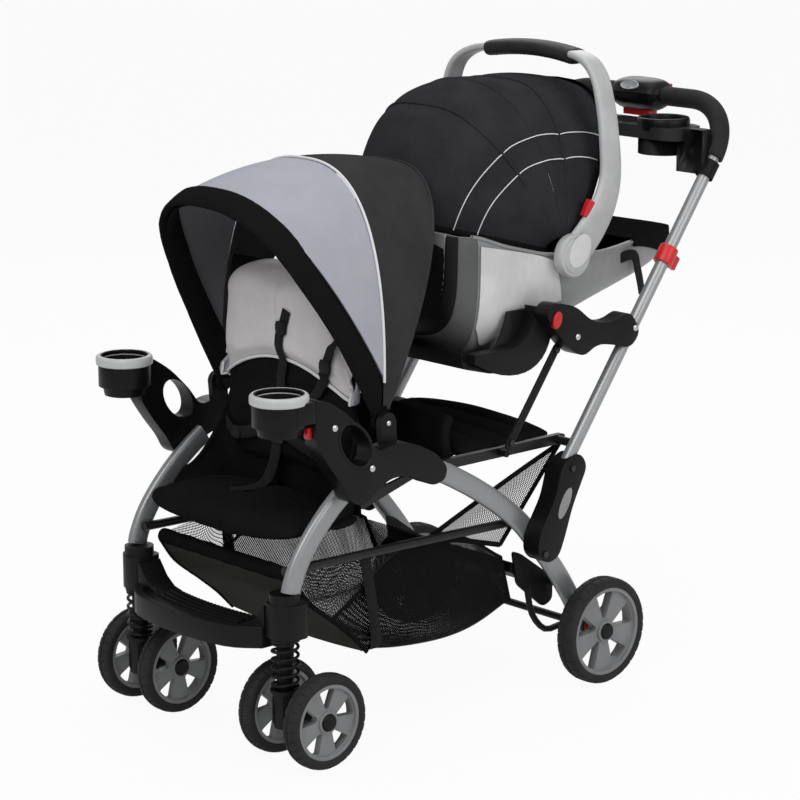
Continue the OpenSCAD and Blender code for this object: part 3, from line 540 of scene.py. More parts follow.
def ellipse(y: float, z: float, a: float, b: float, turn: float, count: int = 48) -> Grid:
    """Points (y, z) of a turned ellipse.

    Args:
        y: Place of its middle.
        z: Height of its middle.
        a: First half size.
        b: Second half size.
        turn: Turn in degrees.
        count: Number of points.

    Returns:
        The points.
    """
    t = np.linspace(0, 2 * math.pi, count, endpoint=False)
    c, s = math.cos(math.radians(turn)), math.sin(math.radians(turn))
    u, v = a * np.cos(t), b * np.sin(t)
    return np.column_stack([y + u * c - v * s, z + u * s + v * c])


def layered(outline: Grid, middle: Sequence[float], layers: Outline) -> Grid:
    """Rows of a flat part: an outline scaled about a point at each place along X.

    Args:
        outline: Points (y, z).
        middle: The point that they are scaled about.
        layers: Place along X and scale of each row.

    Returns:
        The rows.
    """
    middle = np.asarray(middle, float)
    return np.stack([on_plane(middle + (outline - middle) * scale, x) for x, scale in layers])


def on_plane(points: Sequence[Sequence[float]], x: float) -> Grid:
    """Points (y, z) on the plane at x."""
    p = np.asarray(points, float)
    return np.column_stack([np.full(len(p), x), p])


@dataclass
class Shape:
    """Points in millimetres and the faces between them."""

    points: Grid
    faces: list[tuple[int, ...]]
    uv: Grid | None = None

    @classmethod
    def lattice(cls, rows: Grid, around: bool = False, ends: bool = False) -> Shape:
        """Faces between rows of points.

        Args:
            rows: Points by row and column.
            around: Close each row into a ring.
            ends: Close the first and the last row with a face.

        Returns:
            The shape, with a UV map in metres along its rows and columns.
        """
        n, m = rows.shape[:2]
        columns = m if around else m - 1
        faces = [
            (i * m + k, i * m + (k + 1) % m, (i + 1) * m + (k + 1) % m, (i + 1) * m + k)
            for i in range(n - 1)
            for k in range(columns)
        ]
        if ends:
            faces += [tuple(range(m))[::-1], tuple((n - 1) * m + k for k in range(m))]
        along = np.cumsum(np.linalg.norm(np.diff(rows, axis=1, prepend=rows[:, :1]), axis=2), axis=1)
        across = np.cumsum(np.linalg.norm(np.diff(rows, axis=0, prepend=rows[:1]), axis=2), axis=0)
        along -= along[:, m // 2 : m // 2 + 1]
        return cls(rows.reshape(-1, 3).astype(float), faces, np.stack([along, across], 2).reshape(-1, 2) * MM)

    @classmethod
    def sweep(
        cls, path: Grid, side: Sequence[float], wide: float | Grid, tall: float | Grid, sides: int = 20,
        square: float = 1.0,
    ) -> Shape:
        """Bar along a path.

        Args:
            path: Points of the centre line.
            side: Direction that the section's width lies in.
            wide: Width of the section, one or one a point.
            tall: Height of the section, one or one a point.
            sides: Points round the section.
            square: 1 for an ellipse, less for a squarer section.

        Returns:
            The closed bar.
        """
        path = np.asarray(path, float)
        n = len(path)
        tangent = np.gradient(path, axis=0)
        tangent /= np.linalg.norm(tangent, axis=1)[:, None]
        s = np.asarray(side, float) - tangent * (tangent @ np.asarray(side, float))[:, None]
        s /= np.linalg.norm(s, axis=1)[:, None]
        u = np.cross(tangent, s)
        a = np.linspace(0, 2 * math.pi, sides, endpoint=False)
        wide, tall = np.broadcast_to(wide, n), np.broadcast_to(tall, n)
        rows = path[:, None] + 0.5 * (
            (wide[:, None] * power(np.cos(a), square))[..., None] * s[:, None]
            + (tall[:, None] * power(np.sin(a), square))[..., None] * u[:, None]
        )
        return cls.lattice(rows, True, True)

    @classmethod
    def lathe(
        cls, profile: Sequence[Sequence[float]], centre: Sequence[float], steps: int = 72, axis: int = 0,
    ) -> Shape:
        """Ring turned about an axis.

        Args:
            profile: Closed outline of points (radius, place along the axis).
            centre: Point on the axis.
            steps: Steps round.
            axis: 0 for X, 2 for Z.

        Returns:
            The turned shape.
        """
        p, a = np.asarray(profile, float), np.linspace(0, 2 * math.pi, steps, endpoint=False)
        ring = np.stack(
            [np.outer(np.cos(a), p[:, 0]), np.outer(np.sin(a), p[:, 0]), np.tile(p[:, 1], (steps, 1))], 2,
        )
        rows = ring[..., [2, 0, 1]] if axis == 0 else ring
        rows = np.concatenate([rows, rows[:1]]) + np.asarray(centre, float)
        return cls.lattice(rows, True)

    def mirrored(self) -> Shape:
        """Mirror image on the other side of the stroller."""
        return Shape(self.points * (-1, 1, 1), [f[::-1] for f in self.faces], self.uv)

    def on(self, side: Side) -> Shape:
        """The shape on one side; it is made on the right."""
        return self if side is Side.RIGHT else self.mirrored()

    def moved(self, change: Callable[[Grid], Grid]) -> Shape:
        """The shape with its points changed by a function."""
        return Shape(change(self.points), self.faces, self.uv)

    def to_object(self, name: str, outward: bool = True) -> bpy.types.Object:
        """A Blender object of the shape, in metres at the origin.

        Args:
            name: The object's name.
            outward: Turn all faces outwards, for a closed shape.

        Returns:
            The new object.
        """
        mesh = bpy.data.meshes.new(name)
        mesh.from_pydata((self.points * MM).tolist(), [], self.faces)
        if self.uv is not None:
            layer = mesh.uv_layers.new(name="cloth")
            at = np.zeros(len(mesh.loops), int)
            mesh.loops.foreach_get("vertex_index", at)
            layer.data.foreach_set("uv", self.uv[at].astype(np.float32).ravel())
        work = bmesh.new()
        work.from_mesh(mesh)
        bmesh.ops.remove_doubles(work, verts=work.verts, dist=1e-6)
        if outward:
            bmesh.ops.recalc_face_normals(work, faces=work.faces)
        work.to_mesh(mesh)
        work.free()
        obj = bpy.data.objects.new(name, mesh)
        bpy.context.scene.collection.objects.link(obj)
        return obj


def baked(obj: bpy.types.Object, *steps: tuple[str, dict]) -> bpy.types.Object:
    """Run modifiers on an object and keep their result as its mesh.

    Args:
        obj: The object.
        steps: Modifier types with their settings.

    Returns:
        The same object.
    """
    for kind, settings in steps:
        modifier = obj.modifiers.new(kind.lower(), kind)
        for key, value in settings.items():
            setattr(modifier, key, value)
    graph = bpy.context.evaluated_depsgraph_get()
    mesh = bpy.data.meshes.new_from_object(obj.evaluated_get(graph))
    old = obj.data
    obj.modifiers.clear()
    obj.data = mesh
    bpy.data.meshes.remove(old)
    return obj


def subdivide(levels: int = 1) -> tuple[str, dict]:
    """Subdivision step for baked()."""
    return "SUBSURF", {"levels": levels, "render_levels": levels}


def thicken(thickness: float, offset: float = -1.0) -> tuple[str, dict]:
    """Solidify step for baked(), in millimetres."""
    return "SOLIDIFY", {"thickness": thickness * MM, "offset": offset, "use_even_offset": False}


def bevel(width: float, segments: int = 3, angle: float = 40.0) -> tuple[str, dict]:
    """Bevel step for baked() on edges sharper than an angle, in millimetres."""
    limit = {"limit_method": "ANGLE", "angle_limit": math.radians(angle)}
    return "BEVEL", {"width": width * MM, "segments": segments, **limit}


@dataclass
class SubAssembly:
    """Shared making of pieces; each sub-assembly adds its sizes and how it is built."""

    made: list[str] = field(default_factory=list, init=False)

    def settle(
        self, obj: bpy.types.Object, finish: Finish, body: Body | str, *nodes: str, sharp: float = 38.0,
    ) -> bpy.types.Object:
        """Give a piece its finish and its body.

        Args:
            obj: The piece, in place.
            finish: Its finish.
            body: The body that it rides on.
            nodes: The frame's nodes that it stands for.
            sharp: Edges sharper than this angle stay sharp.

        Returns:
            The piece.
        """
        obj.data.materials.clear()
        obj.data.materials.append(finish.material())
        obj.data.polygons.foreach_set("use_smooth", [True] * len(obj.data.polygons))
        obj.data.set_sharp_from_angle(angle=math.radians(sharp))
        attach(obj, body.value if isinstance(body, Body) else body)
        if nodes:
            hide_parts(*nodes)
        self.made.append(obj.name)
        return obj

    def piece(
        self, name: str, shape: Shape, finish: Finish, body: Body | str, *nodes: str, sharp: float = 38.0,
    ) -> bpy.types.Object:
        """Make a closed shape into a piece.

        Args:
            name: The piece's name.
            shape: Its shape.
            finish: Its finish.
            body: The body that it rides on.
            nodes: The frame's nodes that it stands for.
            sharp: Edges sharper than this angle stay sharp.

        Returns:
            The piece.
        """
        return self.settle(shape.to_object(name), finish, body, *nodes, sharp=sharp)

    def pair(self, name: str, shape: Shape, finish: Finish, body: Body) -> None:
        """Make a piece on each side.

        Args:
            name: The piece's name without its side.
            shape: The right side's shape.
            finish: What it is made of.
            body: The body that it moves with.
        """
        for side in Side:
            self.piece(f"{name}_{side.word}", shape.on(side), finish, body)

    def cloth(
        self, name: str, shape: Shape, finish: Finish, body: Body | str, *nodes: str, thickness: float = 2.0,
        offset: float = -1.0, sharp: float = 70.0,
    ) -> bpy.types.Object:
        """Make an open sheet into cloth with a thickness.

        Args:
            name: The piece's name.
            shape: The sheet.
            finish: Its finish.
            body: The body that it rides on.
            nodes: The frame's nodes that it stands for.
            thickness: The cloth's thickness in millimetres.
            offset: Where the thickness lies, from -1 behind the sheet to 1 before it.
            sharp: Edges sharper than this angle stay sharp.

        Returns:
            The piece.
        """
        obj = baked(shape.to_object(name, False), thicken(thickness, offset), subdivide())
        return self.settle(obj, finish, body, *nodes, sharp=sharp)

    def gather(self, obj: bpy.types.Object, first: Body, second: Body, start: Grid, end: Grid) -> None:
        """Take a piece off its body and bake its place into its mesh.

        Args:
            obj: The piece.
            first: The body at its start; not used.
            second: The body at its end; not used.
            start: A point at its start, in metres; not used.
            end: A point at its end, in metres; not used.
        """
        obj.parent = None
        del obj["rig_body"]
        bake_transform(obj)

    def dress(self, finish: Finish, *nodes: str) -> None:
        """Give nodes of the frame a finish."""
        for name in nodes:
            mesh = bpy.data.objects[name].data
            mesh.materials.clear()
            mesh.materials.append(finish.material())

    def copy_of(self, node: str, name: str, keep: Callable[[Vector], bool] | None = None) -> bpy.types.Object:
        """Merged copy of a node of the frame, or of some of its solids.

        Args:
            node: The node.
            name: The copy's name.
            keep: Test of a solid's size; the others are left out.

        Returns:
            The copy.
        """
        mesh = bpy.data.objects[node].data.copy()
        work = bmesh.new()
        work.from_mesh(mesh)
        bmesh.ops.remove_doubles(work, verts=work.verts, dist=2e-6)
        bmesh.ops.dissolve_limit(work, angle_limit=math.radians(0.5), verts=work.verts, edges=work.edges)
        if keep is not None:
            work.verts.ensure_lookup_table()
            seen: set[int] = set()
            drop = []
            for start in work.verts:
                if start.index in seen:
                    continue
                island, queue = [], [start]
                seen.add(start.index)
                while queue:
                    v = queue.pop()
                    island.append(v)
                    for e in v.link_edges:
                        w = e.other_vert(v)
                        if w.index not in seen:
                            seen.add(w.index)
                            queue.append(w)
                low = Vector(map(min, *[v.co for v in island])) if len(island) > 1 else island[0].co
                high = Vector(map(max, *[v.co for v in island])) if len(island) > 1 else island[0].co
                if not keep(high - low):
                    drop += island
            bmesh.ops.delete(work, geom=drop, context="VERTS")
        work.to_mesh(mesh)
        work.free()
        obj = bpy.data.objects.new(name, mesh)
        bpy.context.scene.collection.objects.link(obj)
        return obj

    def rounded(
        self, node: str, finish: Finish, body: Body | str, width: float, segments: int = 3,
    ) -> bpy.types.Object:
        """Copy of a moulded node with rounded edges, which stands for it.

        Args:
            node: The node.
            finish: The copy's finish.
            body: The body that it rides on.
            width: Width of the rounding in millimetres.
            segments: Faces across the rounding.

        Returns:
            The piece.
        """
        obj = baked(self.copy_of(node, node + "_moulding"), bevel(width, segments))
        return self.settle(obj, finish, body, node)


@dataclass
class Studio:
    """Floor, lamps and a camera at the photograph's angle."""

    azimuth: float = 47.5688
    elevation: float = 13.2472
    target: tuple[float, float, float] = (0.0, -0.07, 0.5)
    distance: float = 5.1368
    lens: float = 126.96
    shift: tuple[float, float] = (-0.00185, 0.0224)
    background: float = 0.94
    floor_half: float = 60.0
    floor_drop: float = 0.0006
    # Share of the white background that metal shows, and the sky's light on the object
    mirrored: float = 0.4
    sky: float = 0.26

    def build(self) -> None:
        """Make the floor, the world, the lamps and the camera."""
        scene = bpy.context.scene
        scene.view_settings.view_transform = "Standard"
        self.floor()
        self.world(scene)
        for name, place, size, watts in (
            ("key_lamp", (1.6, -3.0, 3.4), 2.6, 68.0),
            ("side_lamp", (3.8, 0.6, 2.2), 2.4, 40.0),
            ("back_lamp", (-2.6, 2.4, 3.0), 2.6, 42.0),
            ("top_lamp", (0.0, 0.0, 4.2), 3.0, 46.0),
        ):
            self.lamp(name, Vector(place), size, watts)
        self.camera(scene)

    def floor(self) -> None:
        """Pale floor that is near white to the camera and keeps the shadow."""
        mesh = bpy.data.meshes.new("floor")
        half, z = self.floor_half, -self.floor_drop
        corners = [(-half, -half, z), (half, -half, z), (half, half, z), (-half, half, z)]
        mesh.from_pydata(corners, [], [(0, 1, 2, 3)])
        floor = bpy.data.objects.new("floor", mesh)
        bpy.context.scene.collection.objects.link(floor)
        shader = Shader("pale_floor")
        shader.set(base_color=(0.86, 0.86, 0.86), roughness=0.9)
        seen = self.seen(shader.tree)
        white = shader.node("Emission", inputs={"Color": (1.0, 1.0, 1.0), "Strength": 1.0})
        both = shader.node("MixShader", inputs={"Fac": seen * self.background})
        shader.feed(both.inputs[1], shader.principled.outputs[0])
        shader.feed(both.inputs[2], white.outputs[0])
        shader.feed(shader.tree.nodes["Material Output"].inputs["Surface"], both.outputs[0])
        mesh.materials.append(shader.material)

    def world(self, scene: bpy.types.Scene) -> None:
        """White to the camera, a plain grey sky to the object.

        Args:
            scene: The scene to light.
        """
        world = bpy.data.worlds.new("studio")
        world.use_nodes = True
        scene.world = world
        tree = world.node_tree
        sky = tree.nodes["Background"]
        sky.inputs["Color"].default_value = (1.0, 1.0, 1.0, 1.0)
        strength = self.seen(tree) * (1 - self.sky) + self.sky
        tree.links.new(strength.socket, sky.inputs["Strength"])

    def seen(self, tree: bpy.types.NodeTree) -> Value:
        """How much a ray shows the white background, in a node tree."""
        path = tree.nodes.new("ShaderNodeLightPath")
        kinds = ("Camera", "Glossy", "Transmission")
        ray = {kind: Value(tree, path.outputs[f"Is {kind} Ray"]) for kind in kinds}
        seen = ray["Camera"].math("MAXIMUM", ray["Glossy"] * self.mirrored)
        return seen.math("MAXIMUM", ray["Transmission"])

    def lamp(self, name: str, place: Vector, size: float, watts: float) -> None:
        """Soft square lamp that faces the stroller.

        Args:
            name: The lamp's name.
            place: Where it stands.
            size: Length of its sides.
            watts: Its power.
        """
        data = bpy.data.lights.new(name, "AREA")
        data.size, data.energy = size, watts
        lamp = bpy.data.objects.new(name, data)
        lamp.location = place
        lamp.rotation_euler = (Vector((0, -0.05, 0.5)) - place).to_track_quat("-Z", "Y").to_euler()
        bpy.context.scene.collection.objects.link(lamp)

    def camera(self, scene: bpy.types.Scene) -> None:
        """Camera at the photograph's angle.

        Args:
            scene: The scene that looks through it.
        """
        a, e = math.radians(self.azimuth), math.radians(self.elevation)
        back = Vector((math.sin(a) * math.cos(e), -math.cos(a) * math.cos(e), math.sin(e)))
        data = bpy.data.cameras.new("camera")
        data.sensor_width, data.lens = 36.0, self.lens
        data.shift_x, data.shift_y = self.shift
        data.clip_end = 100.0
        camera = bpy.data.objects.new("camera", data)
        camera.location = Vector(self.target) + back * self.distance
        camera.rotation_euler = (-back).to_track_quat("-Z", "Y").to_euler()
        scene.collection.objects.link(camera)
        scene.camera = camera


@dataclass
class Arches:
    """Cloth arches that fan out from a hinge line across the stroller, in millimetres and degrees."""

    pivot: tuple[float, float]
    squareness: float = 0.76

    def point(self, phi: Grid | float, radius: Grid | float, half: Grid | float, t: Grid | float) -> Grid:
        """Points of the arches.

        Args:
            phi: Angle of the arch above the front.
            radius: Height of the arch.
            half: Half width of the arch.
            t: Angle along the arch, 0 at the right and 180 at the left.

        Returns:
            The points.
        """
        phi, t = np.radians(phi), np.radians(t)
        d = radius * power(np.sin(t), self.squareness)
        x = half * power(np.cos(t), self.squareness)
        x, y, z = np.broadcast_arrays(x, self.pivot[0] - d * np.cos(phi), self.pivot[1] + d * np.sin(phi))
        return np.stack([x, y, z], -1)

    def start(self, radius: float, distance: float) -> float:
        """Angle along an arch at which it is a distance from the hinge line."""
        return math.degrees(math.asin((distance / radius) ** (1 / self.squareness)))

    def along(self, radius: float, distance: float, steps: int) -> Grid:
        """Angles along an arch between its two points at a distance from the hinge line."""
        t0 = self.start(radius, distance)
        return np.linspace(t0, 180 - t0, steps)


@dataclass
class SoftGoods(SubAssembly):
    """Sub-assembly with cushions that are filled by a short cloth simulation."""

    def cushion(
        self, node: str, name: str, finish: Finish, body: Body, seams: Callable[[Grid], Grid],
        keep: Callable[[Vector], bool] | None = None, fill: float = 4.0, most: float = 11.0,
    ) -> bpy.types.Object:
        """Fill a cushion of the frame between its seams.

        Args:
            node: The cushion's node.
            name: The new piece's name.
            finish: Its finish.
            body: The body that it rides on.
            seams: How much each point is held by a seam, from 0 to 1.
            keep: Test of a solid's size; the node's other solids are left out.
            fill: Pressure inside.
            most: Furthest that a point may move, in millimetres.

        Returns:
            The piece.
        """
        remesh = ("REMESH", {"mode": "VOXEL", "voxel_size": 0.0055, "use_smooth_shade": True})
        obj = baked(self.copy_of(node, name, keep), remesh, ("SMOOTH", {"iterations": 4, "factor": 0.5}))
        rest = self.places(obj)
        held = np.clip(seams(rest / MM), 0, 1)
        rest = self.fill(obj, rest, held, fill, most * MM)
        centre = rest.mean(0)
        away = rest - centre
        thin = int(np.argmin(np.ptp(rest, axis=0)))
        rest[:, thin] -= np.sign(away[:, thin]) * held * 0.0035
        obj.data.vertices.foreach_set("co", rest.astype(np.float32).ravel())
        baked(obj, ("SMOOTH", {"iterations": 1, "factor": 0.4}), subdivide())
        self.settle(obj, finish, body, node, sharp=75.0)
        return obj

    def places(self, obj: bpy.types.Object) -> Grid:
        """Points of an object's mesh."""
        at = np.zeros(len(obj.data.vertices) * 3)
        obj.data.vertices.foreach_get("co", at)
        return at.reshape(-1, 3)

    def fill(self, obj: bpy.types.Object, rest: Grid, held: Grid, pressure: float, most: float) -> Grid:
        """Run the simulation on a cushion.

        Args:
            obj: The cushion.
            rest: Its points.
            held: How much each point is held.
            pressure: Pressure inside.
            most: Furthest that a point may move, in metres.

        Returns:
            The new points.
        """
        group = obj.vertex_groups.new(name="held")
        for level in (0.35, 0.7, 1.0):
            group.add(np.flatnonzero(held >= level - 0.05).tolist(), level, "REPLACE")
        cloth = obj.modifiers.new("filling", "CLOTH")
        settings = cloth.settings
        settings.quality, settings.mass = 4, 0.25
        settings.use_pressure, settings.uniform_pressure_force = True, pressure
        settings.vertex_group_mass = "held"
        settings.effector_weights.gravity = 0.0
        cloth.collision_settings.use_collision = False
        scene = bpy.context.scene
        for frame in range(1, 21):
            scene.frame_set(frame)
        mesh = obj.evaluated_get(bpy.context.evaluated_depsgraph_get()).to_mesh()
        at = np.zeros(len(mesh.vertices) * 3)
        mesh.vertices.foreach_get("co", at)
        obj.modifiers.clear()
        scene.frame_set(1)
        move = at.reshape(-1, 3) - rest
        far = np.linalg.norm(move, axis=1, keepdims=True)
        return rest + move * np.minimum(1, most / np.maximum(far, 1e-9))

    def laid(self, obj: bpy.types.Object, points: Grid, way: Sequence[float], lift: Grid | float) -> Grid:
        """Points dropped on a piece's surface.

        Args:
            obj: The piece.
            points: Points in millimetres, off the surface.
            way: Direction in which they fall.
            lift: Distance kept off the surface.

        Returns:
            The points on the surface; those that miss keep the place of the last hit.
        """
        tree = BVHTree.FromObject(obj, bpy.context.evaluated_depsgraph_get())
        down = Vector(way).normalized()
        flat, out = np.asarray(points, float).reshape(-1, 3), []
        last = None
        for p in flat:
            hit = tree.ray_cast(Vector(p * MM), down, 0.2)[0]
            depth = (hit - Vector(p * MM)).dot(down) / MM if hit is not None else last
            last = depth if depth is not None else last
            out.append(p + np.asarray(down) * (depth if depth is not None else 60.0))
        lift = np.broadcast_to(lift, np.asarray(points).shape[:-1]).reshape(-1, 1)
        return (np.array(out) - lift * np.asarray(down)).reshape(np.asarray(points).shape)


@dataclass
class FrontCanopy(SubAssembly):
    """Canopy of the front seat: padded front edge, grey cloth, white piping and charcoal rear cloth."""

    arches: Arches = field(default_factory=lambda: Arches((-314.0, 570.0)))
    half: float = 221.0
    front: tuple[float, float] = (59.0, 433.0)
    middle: tuple[float, float] = (92.0, 427.0)
    rear: tuple[float, float] = (118.0, 459.0)
    edge_width: float = 50.0
    edge_thickness: float = 13.0
    sag: float = 4.0
    # Screw in a hub: turned outline and its place along X
    screw: Outline = ((0.01, 2.4), (2.6, 2.3), (4.6, 1.2), (5.0, 0.0), (5.0, -1.0), (0.01, -1.0))
    screw_x: float = 234.5

    def reach(self, radius: float, t: Grid) -> Grid:
        """Distance of an arch's points from the hinge line."""
        return radius * power(np.sin(np.radians(t)), self.arches.squareness)

    def build(self) -> None:
        """Make the cloths, the padded edge and the piping."""
        self.padded_edge()
        self.grey_cloth()
        self.rear_cloth()
        self.piping()
        self.hub_screws()
        self.dress(Looks.BLACK, "canopy_hubs")
        self.dress(Looks.BINDING, "canopy_front_bow")

    def padded_edge(self) -> None:
        """Gathered black roll round the front edge, down to the hubs."""
        phi, radius = self.front
        t = self.arches.along(radius, 17.0, 181)
        d = self.reach(radius, t)
        wide = np.minimum(self.edge_width, 26 + 0.6 * d)
        inset = 2 + 9 * np.clip((370 - d) / 80, 0, 1)
        path = self.arches.point(phi + np.degrees(wide / 2 / d), radius - inset, self.half - inset, t)
        run = np.cumsum(np.linalg.norm(np.diff(path, axis=0, prepend=path[:1]), axis=1))
        gather = 1 + 0.05 * np.sin(run / 17 * 2 * math.pi) + 0.045 * np.sin(run / 41 * 2 * math.pi + 1.3)
        side = (0.0, math.sin(math.radians(phi)), math.cos(math.radians(phi)))
        roll = Shape.sweep(path, side, wide * (0.98 + 0.02 * gather), self.edge_thickness * gather, 20, 0.8)
        edge = self.piece("canopy_padded_edge", roll, Looks.BINDING, Body.CANOPY)

    def grey_cloth(self) -> None:
        """Grey cloth from the padded edge to the middle bow, with its lining."""
        steps, t = 15, self.arches.along(self.middle[1], 74.0, 97)
        share = np.linspace(0, 1, steps)[:, None]
        d = self.reach(self.middle[1], t)
        first = self.front[0] + np.degrees(0.88 * self.edge_width / d)
        phi = first + share * (self.middle[0] - 0.3 - first)
        v = (phi - self.front[0]) / (self.middle[0] - self.front[0])
        radius = self.front[1] + v * (self.middle[1] - self.front[1]) - self.sag * np.sin(math.pi * share)
        ripple = 0.7 * np.sin(np.radians(t) * 26) * np.sin(math.pi * share) * (1 - share)
        outer = self.arches.point(phi, radius + ripple, self.half + 0 * phi, t + 0 * phi)
        start = self.arches.point(self.middle[0], self.middle[1], 0, 90) * MM
        end = self.arches.point(self.front[0] + 5, self.middle[1], 0, 90) * MM
        cloths = (("canopy_front_cloth", Looks.GREY_CLOTH, 0.0), ("canopy_front_lining", Looks.LINING, 3.2))
        for name, finish, drop in cloths:
            away = outer - np.array([0.0, *self.arches.pivot])
            rows = outer - drop * away / np.linalg.norm(away, axis=2, keepdims=True)
            nodes = ["canopy_front_panel"] if drop == 0 else []
            shape = Shape.lattice(rows[:, ::-1])
            obj = self.cloth(name, shape, finish, Body.CANOPY, *nodes, thickness=1.4, sharp=60.0)
            self.gather(obj, Body.CHASSIS, Body.CANOPY, start, end)

    def rear_cloth(self) -> None:
        """Charcoal cloth from the middle bow to the rear edge, with a hem."""
        steps, t = 15, self.arches.along(self.middle[1], 26.0, 97)
        share = np.linspace(0, 1, steps)[:, None]
        phi = self.middle[0] + 0.2 + share * (self.rear[0] - self.middle[0] - 0.2)
        radius = self.middle[1] + share * (self.rear[1] - self.middle[1]) - self.sag * np.sin(math.pi * share)
        d = self.reach(self.middle[1], t)
        folds = 2.2 * np.exp(-d / 70) * np.sin(share * 5 * math.pi)
        waves = 0.8 * np.sin(np.radians(t) * 17 + 2 * share) * np.sin(math.pi * share)
        outer = self.arches.point(phi, radius + (folds + waves), self.half + 0 * phi, t + 0 * phi)
        shape = Shape.lattice(outer[:, ::-1])
        nodes = ["canopy_rear_panel"]
        obj = self.cloth(
            "canopy_rear_cloth", shape, Looks.CHARCOAL, Body.CHASSIS, *nodes, thickness=2.4, sharp=60.0,
        )
        edge = self.arches.along(self.rear[1], 24.0, 121)
        hem = self.arches.point(self.rear[0] - 0.5, self.rear[1], self.half - 1, edge)
        lean = math.radians(self.rear[0])
        side = (0.0, math.sin(lean), math.cos(lean))
        self.piece("canopy_rear_hem", Shape.sweep(hem, side, 7.0, 5.0, 12), Looks.CHARCOAL, Body.CHASSIS)

    def piping(self) -> None:
        """White piping over the middle bow."""
        arch = self.arches.along(self.middle[1], 68.0, 141)
        line = self.arches.point(self.middle[0], self.middle[1] + 1.6, self.half + 1.2, arch)
        self.piece("canopy_piping", Shape.sweep(line, (0, 1, 0), 5.0, 5.0, 10), Looks.PIPING, Body.CHASSIS)

    def hub_screws(self) -> None:
        """Bright screw in the middle of each hub."""
        head = Shape.lathe(self.screw, (self.screw_x, *self.arches.pivot), 24)
        self.pair("hub_screw", head, Looks.STEEL, Body.CHASSIS)


